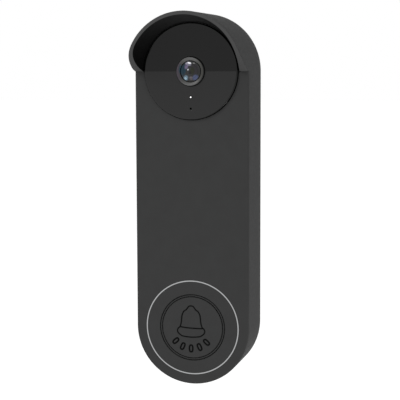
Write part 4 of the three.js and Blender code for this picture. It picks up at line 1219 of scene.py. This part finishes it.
dress(moulded("filled_black", grey(0.008), grey(0.014), 3400.0, (0.5, 0.72), 0.2),
      "camera_carrier", "lens_barrel", "lens_holder", "filter_carriage", "battery_tray",
      "speaker_frame", "reset_switch")
dress(moulded("white_acetal", grey(0.62, (1.0, 0.99, 0.95)), grey(0.72, (1.0, 0.99, 0.96)),
              1800.0, (0.3, 0.42), 0.12, coat_weight=0.1),
      "button_cap", "release_latch", "status_led")
dress(moulded("reset_red", (0.42, 0.02, 0.018, 1), (0.5, 0.035, 0.028, 1), 2400.0, (0.3, 0.42),
              0.1), "reset_button")

# ---- Light guide ----
# A ring of clear acrylic behind the light ring, polished, with a frosted front that scatters
# the light and four legs that bring it up from the button's board.
guide_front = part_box("light_guide_ring")[0].y
guide_finish = Finish("frosted_acrylic", specular_ior_level=0.6, coat_weight=0.3,
                      coat_roughness=0.1)
frost = guide_finish.noise(3800.0, 2.0, 0.7)
flow = guide_finish.noise(90.0, 4.0, 0.6)
guide_y = guide_finish.axis("Y")
frosted = guide_finish.range(guide_y, guide_front + 0.6 * MM, guide_front + 0.4 * MM)
guide_tone = guide_finish.layers(
    grey(0.55, (0.96, 0.99, 1.0)), (flow, grey(0.66, (0.97, 1.0, 1.0))),
    (frosted * 0.6, grey(0.82)))
guide_finish.paint(base_color=guide_tone,
                   roughness=guide_finish.range(frost + frosted, 0.3, 1.5, 0.1, 0.6),
                   normal=guide_finish.bump(frost * frosted, 0.01 * MM, 0.6))
dress(guide_finish.material, "light_guide_ring")

# ---- Seals ----
# Black elastomer cut or moulded to shape: the gasket between the shells, the boot round the
# microphone, the foam ring of the speaker and the adhesive under the window.
rubber = Finish("black_elastomer", specular_ior_level=0.2)
pores = rubber.cells(2600.0)
bloom = rubber.noise(120.0, 5.0, 0.7)
rubber_tone = rubber.layers(
    grey(0.008), (bloom, grey(0.02, (0.98, 0.99, 1.0))), (pores < 0.12, grey(0.003)))
rubber.paint(base_color=rubber_tone, roughness=rubber.spread(bloom, 0.75, 0.92),
             normal=rubber.bump(pores, 0.03 * MM, 0.5))
dress(rubber.material, "housing_gasket", "mic_boot", "speaker_gasket", "window_adhesive")

# ---- Inner optics ----
# The rear lens element, and the two panes of the night filter: one cuts infrared and looks
# pink in glancing light, the other is clear. Ground glass with thin coatings and dark edges.
for name, reflex, base, nodes in (
        ("green_coated_glass", (0.04, 0.16, 0.11, 1), grey(0.02), ("lens_inner_element",)),
        ("infrared_cut_glass", (0.34, 0.07, 0.16, 1), (0.05, 0.16, 0.18, 1), ("ir_cut_glass",)),
        ("clear_glass", (0.2, 0.22, 0.24, 1), grey(0.32, (0.94, 1.0, 0.97)), ("clear_glass",))):
    optic = Finish(name, specular_ior_level=0.7, coat_weight=0.5, coat_roughness=0.03)
    coat = optic.noise(180.0, 2.0, 0.4)
    digs = optic.cells(2400.0) < 0.02
    optic_tone = optic.mix(optic.range(coat, 0.35, 0.65), base, reflex)
    optic.paint(base_color=optic.mix(digs * 0.4, optic_tone, grey(0.4)),
                roughness=optic.spread(coat, 0.03, 0.08),
                normal=optic.bump(coat, 0.01 * MM, 0.1))
    dress(optic.material, *nodes)

# ---- Image sensor ----
# A black ceramic package under glass. Its fine grid of light cells splits the light into faint
# colours, and gold bond pads run along its border.
die = Finish("sensor_die", specular_ior_level=0.8, coat_weight=0.6, coat_roughness=0.04)
die_x = die.axis("X")
die_z = die.axis("Z") - END
squared = abs(die_x * 1000.0).largest(abs(die_z * 1150.0))
fringe = die.noise(240.0, 2.0, 0.5)
lines = (die_x * 60000.0).sine()
array = die.layers(
    (0.02, 0.05, 0.03, 1), (fringe, (0.06, 0.03, 0.09, 1)),
    ((lines > 0.4) * 0.3, (0.01, 0.03, 0.06, 1)))
pads = ((die_z * 15000.0).sine() > 0.0) * (squared > 2.75)
frame_tone = die.mix(pads, grey(0.012), (0.55, 0.38, 0.13, 1))
die.paint(base_color=die.mix(squared > 2.55, array, frame_tone),
          roughness=die.spread(fringe, 0.1, 0.22),
          metallic=pads * 0.9, normal=die.bump(lines, 0.002 * MM, 0.3))
dress(die.material, "image_sensor")

# ---- Circuit boards ----
# Green solder mask over glass cloth: copper tracks show as lighter lines, with tinned holes
# and bare pads. Small black packages are soldered on the main board between its cables.
board = Finish("solder_mask", specular_ior_level=0.5, coat_weight=0.3, coat_roughness=0.15)
lying = board.node("Mapping", {}, {"Vector": board.place,
                                   "Rotation": (math.pi / 2, 0, 0)})
tracks = board.node("TexBrick", {"offset": 0.37, "squash": 0.7, "squash_frequency": 3}, {
    "Vector": lying, "Scale": 330.0, "Color1": grey(0.0), "Color2": grey(0.0),
    "Mortar": grey(1.0), "Mortar Size": 0.035, "Brick Width": 1.9, "Row Height": 0.5},
    out="Fac")
cross_tracks = board.node("TexBrick", {"offset": 0.5}, {
    "Vector": board.node("Mapping", {}, {"Vector": board.place,
                                         "Rotation": (math.pi / 2, math.pi / 2, 0)}),
    "Scale": 120.0, "Mortar Size": 0.018, "Brick Width": 1.4, "Row Height": 0.6}, out="Fac")
copper = tracks.largest(cross_tracks)
vias = board.cells(260.0)
weave = board.noise(1400.0, 2.0, 0.6)
mask_tone = board.layers(
    (0.004, 0.034, 0.016, 1), (weave, (0.006, 0.045, 0.022, 1)),
    (copper * 0.8, (0.012, 0.09, 0.045, 1)), (vias < 0.13, grey(0.62, (1.0, 0.97, 0.92))),
    (vias < 0.06, grey(0.01)))
board.paint(base_color=mask_tone, metallic=(vias < 0.13) * 0.9,
            roughness=board.spread(weave, 0.25, 0.4),
            normal=board.bump(copper + weave * 0.3, 0.02 * MM, 0.6))
dress(board.material, "led_board", "sensor_board", "button_board", "main_board",
      "power_board")


class Tree:
    """A Geometry Nodes tree with named sizes, run once and kept as a plain mesh."""

    def __init__(self, name):
        self.name = name
        self.group = bpy.data.node_groups.new(name, "GeometryNodeTree")
        self.group.interface.new_socket("Geometry", in_out="OUTPUT",
                                        socket_type="NodeSocketGeometry")
        self.entry = self.group.nodes.new("NodeGroupInput")
        self.exit = self.group.nodes.new("NodeGroupOutput")
        self.values = {}

    def size(self, name, value, kind="Float"):
        socket = self.group.interface.new_socket(name, in_out="INPUT",
                                                 socket_type="NodeSocket" + kind)
        self.values[socket.identifier] = value
        return self.entry.outputs[name]

    def node(self, kind, settings=None, values=None, out=0):
        node = self.group.nodes.new(kind)
        for key, value in (settings or {}).items():
            setattr(node, key, value)
        for key, value in (values or {}).items():
            if isinstance(value, bpy.types.NodeSocket):
                self.group.links.new(value, node.inputs[key])
            else:
                node.inputs[key].default_value = value
        return node.outputs[out]

    def moved(self, geometry, place=(0, 0, 0), turn=(0, 0, 0)):
        return self.node("GeometryNodeTransform", {}, {
            "Geometry": geometry, "Translation": place, "Rotation": turn})

    def repeat(self, points, instance, turn=(0, 0, 0), scale=(1, 1, 1)):
        return self.node("GeometryNodeInstanceOnPoints", {}, {
            "Points": points, "Instance": instance, "Rotation": turn, "Scale": scale})

    def random(self, low, high, seed):
        return self.node("FunctionNodeRandomValue", {"data_type": "FLOAT_VECTOR"},
                         {0: low, 1: high, "Seed": seed})

    def copy_of(self, piece):
        source = self.size("Source", piece, "Object")
        return self.node("GeometryNodeObjectInfo", {}, {"Object": source}, out="Geometry")

    def grown(self, geometry, material):
        real = self.node("GeometryNodeRealizeInstances", {}, {0: geometry})
        done = self.node("GeometryNodeSetMaterial", {},
                         {"Geometry": real, "Material": material})
        self.group.links.new(done, self.exit.inputs[0])
        piece = placed(self.name, bpy.data.meshes.new(self.name))
        modifier = piece.modifiers.new("tree", "NODES")
        modifier.node_group = self.group
        for identifier, value in self.values.items():
            modifier[identifier] = value
        settle(piece)
        for value in self.values.values():
            if isinstance(value, bpy.types.Object):
                bpy.data.objects.remove(value)
        return piece


main_low, main_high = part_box("main_board")
shield_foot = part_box("rf_shield")[0].z
package = Finish("chip_package", specular_ior_level=0.4)
mould_grain = package.noise(4200.0, 2.0, 0.7)
package_cloud = package.noise(300.0)
package_y = package.axis("Y")
tin = package_y > main_low.y - 0.12 * MM
package_tone = package.mix(package_cloud, grey(0.008), grey(0.018))
package.paint(base_color=package.mix(tin, package_tone, grey(0.6)), metallic=tin,
              roughness=package.spread(mould_grain, 0.45, 0.65),
              normal=package.bump(mould_grain, 0.01 * MM, 0.4))


CHIP_BODY = [(0.34, 0.4), (0.3, 0.44), (0.0, 0.46), (-0.46, 0.42), (-0.5, 0.38)]
LEAD = [(0.4, 0.05), (0.52, 0.05), (0.54, 0.42), (0.64, 0.42), (0.64, 0.5), (0.48, 0.5),
        (0.46, 0.12), (0.4, 0.12)]
LEAD_PITCH = 0.28
LEAD_HALF = 0.06


def one_package():
    """A chip a millimetre square: a drafted body over the board, three bent leads a side."""
    chip = Moulding()
    rings = [chip.loop([(x * half * MM, y * MM, z * half * MM)
                        for x, z in ((1, 1), (-1, 1), (-1, -1), (1, -1))])
             for y, half in CHIP_BODY]
    chip.capped(rings)
    for side in (-1, 1):
        for k in (-1, 0, 1):
            chip.capped([chip.loop([(side * x * MM, y * MM, (k * LEAD_PITCH + z) * MM)
                                    for x, y in LEAD]) for z in (-LEAD_HALF, LEAD_HALF)])
    return chip.make("one_package", package.material, crease=20)


chips = Tree("main_board_packages")
FIELD_SIDES = 5 * MM
FIELD_ENDS = 8 * MM
FIELD_RISE = 1.5 * MM
CHIP_GAP = 3.8 * MM
field_wide = chips.size("Field width", main_high.x * 2 - FIELD_SIDES)
field_tall = chips.size("Field height", shield_foot - main_low.z - FIELD_ENDS)
chip_seed = chips.size("Seed", 7, "Int")
field = chips.node("GeometryNodeMeshGrid", {}, {
    "Size X": field_wide, "Size Y": field_tall, "Vertices X": 2, "Vertices Y": 2})
field_z = (main_low.z + shield_foot) / 2 + FIELD_RISE
field = chips.moved(field, (0, main_low.y - 0.42 * MM, field_z), (math.pi / 2, 0, 0))
spots = chips.node("GeometryNodeDistributePointsOnFaces",
                   {"distribute_method": "POISSON"},
                   {"Mesh": field, "Distance Min": CHIP_GAP, "Density Max": 90000.0,
                    "Seed": chip_seed})
block = chips.copy_of(one_package())
chip_scale = chips.random((0.9, 0.8, 0.8), (2.5, 0.8, 2.3), chip_seed)
chip_piece = chips.grown(chips.repeat(spots, block, scale=chip_scale), package.material)
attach(chip_piece, "doorbell")

# ---- Flexible circuits ----
# Amber polyimide film with parallel copper tracks under it, folded between the boards; the
# antenna is a gold trace on the same film.
TRACK_PITCH = 0.9 * MM
film = Finish("amber_film", specular_ior_level=0.5, coat_weight=0.4, coat_roughness=0.1)
film_x = film.axis("X")
track = (film_x * (2 * math.pi / TRACK_PITCH)).sine() > -0.1
ripple = film.noise(110.0, 3.0)
film_tone = film.layers(
    (0.30, 0.11, 0.015, 1), (ripple, (0.38, 0.16, 0.025, 1)), (track * 0.7, (0.55, 0.25, 0.07, 1)))
film.paint(base_color=film_tone, roughness=film.spread(ripple, 0.18, 0.35),
           normal=film.bump(track + ripple, 0.02 * MM, 0.4))
dress(film.material, "camera_flex_cable", "button_flex_cable", "wifi_antenna")

# ---- Battery ----
# A lithium pouch shrunk into blue film, with soft wrinkles, a welded seam down its side and
# yellow tape across its upper end.
wrap = Finish("shrink_film", specular_ior_level=0.5, coat_weight=0.5, coat_roughness=0.12)
battery_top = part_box("battery_pack")[1].z
crease_way = wrap.stretched(1.0, 1.0, 0.3)
wrinkle = wrap.noise(140.0, 5.0, 0.6, place=crease_way)
wrap_z = wrap.axis("Z")
wrap_x = wrap.axis("X")
tape = wrap_z > battery_top - 6 * MM
seam = (wrap_x > 12 * MM) * (wrap_x < 12.6 * MM)
wrap_tone = wrap.layers(
    (0.008, 0.04, 0.16, 1), (wrinkle, (0.014, 0.06, 0.22, 1)), (seam * 0.6, (0.03, 0.11, 0.34, 1)),
    (tape, (0.62, 0.42, 0.05, 1)))
wrap.paint(base_color=wrap_tone, roughness=wrap.spread(wrinkle, 0.2, 0.4),
           normal=wrap.bump(wrinkle + seam + tape, 0.15 * MM, 0.4))
dress(wrap.material, "battery_pack")

# ---- Plated steel parts ----
# Stamped and turned steel with bright nickel: the radio shield, the cans of the microphone
# and the socket, the dome of the switch and the magnet. Fine brushing from the strip, dull
# clouds where it was handled.


def plated(name, tone_low, tone_high, gloss=(0.2, 0.42)):
    metal = Finish(name, metallic=1.0)
    along = metal.stretched(1.0, 1.0, 0.04)
    brushed = metal.noise(9000.0, 2.0, 0.6, place=along)
    handled = metal.noise(130.0, 4.0, 0.6)
    spots_dull = metal.cells(700.0) < 0.05
    tone = metal.layers(tone_low, (handled, tone_high), (spots_dull * 0.4, grey(0.2)))
    metal.paint(base_color=tone, roughness=metal.range(handled + brushed * 0.5, 0.4, 1.0, *gloss),
                normal=metal.bump(brushed, 0.004 * MM, 0.4))
    return metal.material


nickel = plated("nickel_plate", grey(0.52, (1.0, 0.99, 0.96)), grey(0.66, (1.0, 0.99, 0.97)))
dress(nickel, "rf_shield", "microphone", "dome_switch", "speaker_magnet", "usb_port")

# ---- Latch spring ----
# One strip of spring steel bent to and fro five times, which the latch squeezes as it is
# pushed up. It lies in the channel of the rear shell.
WIRE = 0.4 * MM
SPRING_BENDS = 5
bend = (spring_high.z - spring_low.z - WIRE) / SPRING_BENDS / 2
spring_end = spring_high.x - WIRE / 2 - bend
path = [(-spring_end - bend, spring_low.z + WIRE / 2, 0.0)]
for k in range(SPRING_BENDS):
    side = 1 if k % 2 == 0 else -1
    bend_z = spring_low.z + WIRE / 2 + bend * (2 * k + 1)
    for i in range(9):
        turn = -math.pi / 2 + math.pi * i / 8
        path.append((side * (spring_end + bend * math.cos(turn)), bend_z + bend * math.sin(turn),
                     side * (turn + math.pi / 2)))
last_side = 1 if SPRING_BENDS % 2 == 0 else -1
path.append((-last_side * (spring_end + bend), spring_high.z - WIRE / 2,
             0.0 if last_side > 0 else math.pi))
strip = Moulding()
sections = []
for x, z, heading in path:
    over = (-math.sin(heading) * WIRE / 2, math.cos(heading) * WIRE / 2)
    sections.append(strip.loop([
        (x + over[0], spring_low.y, z + over[1]), (x - over[0], spring_low.y, z - over[1]),
        (x - over[0], spring_high.y, z - over[1]), (x + over[0], spring_high.y, z + over[1])]))
strip.capped(sections)
spring = strip.make("latch_spring_strip", nickel)
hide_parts("latch_spring")
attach(spring, "doorbell")
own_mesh(spring)

# ---- Screws ----
# Four thread-forming steel screws join the shells, and two brass ones hold the chime's wires.
# Each has a pan head with a cross recess, a short neck and a rolled thread with a blunt tip.
SCREW_TURN = 24
CROWN_STEPS = 5
CROWN_HEIGHT = 0.55
ROWS_A_TURN = 6
TIP_START = 0.86
TIP_TAPER = 0.45
THREAD_DEPTH = 0.24
RECESS_ARM = 0.62
RECESS_SLIT = 0.14
RECESS_DEPTH = 0.75


def screw(head_radius, head_high, shank_radius, length, pitch):
    """One screw about the Y axis: the head's top at y 0, its tip at y -length."""
    body = Moulding()
    loops = []
    for turn in quarter(CROWN_STEPS):
        radius = max(head_radius * math.sin(turn), 0.02 * MM)
        loops.append((radius, -head_high * CROWN_HEIGHT * (1 - math.cos(turn)), 0.0))
    loops.append((head_radius, -head_high * 0.9, 0.0))
    loops.append((head_radius * 0.94, -head_high, 0.0))
    loops.append((shank_radius, -head_high, 0.0))
    rows = int((length - head_high) / pitch * ROWS_A_TURN)
    for i in range(1, rows + 1):
        share = i / rows
        taper = 1 - TIP_TAPER * max(0.0, (share - TIP_START) / (1 - TIP_START))
        loops.append((shank_radius * taper, -head_high - (length - head_high) * share,
                      0.0 if i < 4 or i == rows else THREAD_DEPTH * shank_radius))
    rings = []
    for radius, y, ridge in loops:
        ring = []
        for k in range(SCREW_TURN):
            turn = 2 * math.pi * k / SCREW_TURN
            phase = (-y / pitch - k / SCREW_TURN) % 1.0
            out = radius - ridge * (1 - max(0.0, 1 - abs(phase - 0.5) * 3.2))
            ring.append((out * math.cos(turn), y, out * math.sin(turn)))
        rings.append(body.loop(ring))
    body.capped(rings)
    piece = body.make("one_screw", nickel, crease=40)
    arm = head_radius * RECESS_ARM
    slit = head_radius * RECESS_SLIT
    for half_x, half_z in ((arm, slit), (slit, arm)):
        carve(piece, window_tool(-half_x, half_x, -half_z, half_z,
                                 -head_high * RECESS_DEPTH, 0.0, slit * 0.6, 0.0, MM * 0.5))
    return piece


CASE_HEAD = (1.9 * MM, 1.3 * MM)
CASE_SHANK = 1.15 * MM
CASE_PITCH = 0.9 * MM
case_screws = Tree("case_screw_set")
wide = case_screws.size("Across", 2 * BOSS_X)
tall = case_screws.size("Up", 2 * BOSS_Z)
screw_seed = case_screws.size("Seed", 3, "Int")
one = case_screws.copy_of(screw(*CASE_HEAD, CASE_SHANK, screw_high.y - screw_low.y,
                                CASE_PITCH))
corners = case_screws.node("GeometryNodeMeshGrid", {}, {
    "Size X": wide, "Size Y": tall, "Vertices X": 2, "Vertices Y": 2})
corners = case_screws.moved(corners, (0, screw_high.y, 0), (math.pi / 2, 0, 0))
spin = case_screws.random((0, 0, 0), (0, 2 * math.pi, 0), screw_seed)
steel_screws = case_screws.grown(case_screws.repeat(corners, one, spin), nickel)
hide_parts("case_screw_1", "case_screw_2", "case_screw_3", "case_screw_4")
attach(steel_screws, "doorbell")

brass = plated("turned_brass", (0.62, 0.42, 0.15, 1), (0.74, 0.53, 0.22, 1), (0.25, 0.45))
BRASS_HEAD = (2.5 * MM, 1.4 * MM)
BRASS_SHANK = 1.3 * MM
BRASS_PITCH = 0.8 * MM
terminals = Tree("terminal_screw_pair")
apart = terminals.size("Apart", (2 * TERMINAL_X, 0, 0), "Vector")
terminal_seed = terminals.size("Seed", 5, "Int")
one = terminals.copy_of(screw(*BRASS_HEAD, BRASS_SHANK, terminal_high.y - terminal_low.y,
                              BRASS_PITCH))
pair = terminals.node("GeometryNodeMeshLine", {"mode": "OFFSET"}, {
    "Count": 2, "Start Location": (-TERMINAL_X, terminal_high.y, TERMINAL_Z), "Offset": apart})
spin = terminals.random((0, 0, 0), (0, 2 * math.pi, 0), terminal_seed)
brass_screws = terminals.grown(terminals.repeat(pair, one, spin), brass)
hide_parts("terminal_screw_left", "terminal_screw_right")
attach(brass_screws, "doorbell")

# ---- Infrared LEDs ----
# Four epoxy lamps round the lens behind the window: a square foot, a clear body with a domed
# top and a small yellow die in the middle of it. Soldered to the ring board.
led_low, led_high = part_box("ir_led_1")
LED_RADIUS = (led_high.x - led_low.x) / 2
epoxy = Finish("led_epoxy", specular_ior_level=0.7, coat_weight=0.6, coat_roughness=0.03)
spread = epoxy.noise(420.0, 3.0)
murk = epoxy.mix(spread, (0.05, 0.03, 0.045, 1), (0.09, 0.06, 0.08, 1))
die_x = abs(epoxy.axis("X")) * 1000.0 - abs(led_low.x + led_high.x) / 2 / MM
die_z = abs(epoxy.axis("Z") - END) * 1000.0 - abs((led_low.z + led_high.z) / 2 - END) / MM
off_die = abs(die_x).largest(abs(die_z))
murk = epoxy.mix(off_die < 0.32, murk, (0.55, 0.4, 0.08, 1))
epoxy.paint(base_color=murk, roughness=epoxy.spread(spread, 0.04, 0.1),
            normal=epoxy.bump(spread, 0.01 * MM, 0.15))
LAMP_RADIUS = LED_RADIUS * 0.74
DOME_HEIGHT = 1.1 * MM
lamp_profile = [(0, 0)]
lamp_profile += [(LAMP_RADIUS * math.sin(turn), DOME_HEIGHT * (1 - math.cos(turn)))
                 for turn in quarter(8)[1:]]
lamp_profile += [(LAMP_RADIUS, 1.9 * MM), (LED_RADIUS, 2.0 * MM),
                 (LED_RADIUS, led_high.y - led_low.y), (0, led_high.y - led_low.y)]
lamps = Tree("ir_led_set")
reach = lamps.size("Ring radius", math.hypot(led_low.x + led_high.x,
                                             led_low.z + led_high.z - 2 * END) / 2)
one = lamps.copy_of(turned("one_lamp", lamp_profile, epoxy.material, 0, count=28))
ring_points = lamps.node("GeometryNodeMeshCircle", {}, {"Vertices": 4, "Radius": reach})
ring_points = lamps.moved(ring_points, (0, led_low.y, END), (math.pi / 2, math.pi / 4, 0))
lamp_set = lamps.grown(lamps.repeat(ring_points, one), epoxy.material)
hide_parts("ir_led_1", "ir_led_2", "ir_led_3", "ir_led_4")
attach(lamp_set, "doorbell")

# ---- Speaker cone ----
# Pressed paper pulp, dark grey, with loose fibres and a slightly glossy doped edge.
paper = Finish("speaker_paper", specular_ior_level=0.2)
fibre_way = paper.stretched(1.0, 0.25, 1.0)
fibre = paper.noise(3200.0, 5.0, 0.75, place=fibre_way)
pulp = paper.noise(260.0, 4.0)
paper_tone = paper.mix(pulp, grey(0.018, (1.0, 0.98, 0.94)), grey(0.034, (1.0, 0.98, 0.95)))
paper.paint(base_color=paper.mix(paper.range(fibre, 0.6, 0.75) * 0.4, paper_tone, grey(0.09)),
            roughness=paper.spread(pulp, 0.7, 0.9),
            normal=paper.bump(fibre, 0.03 * MM, 0.6))
dress(paper.material, "speaker_cone")
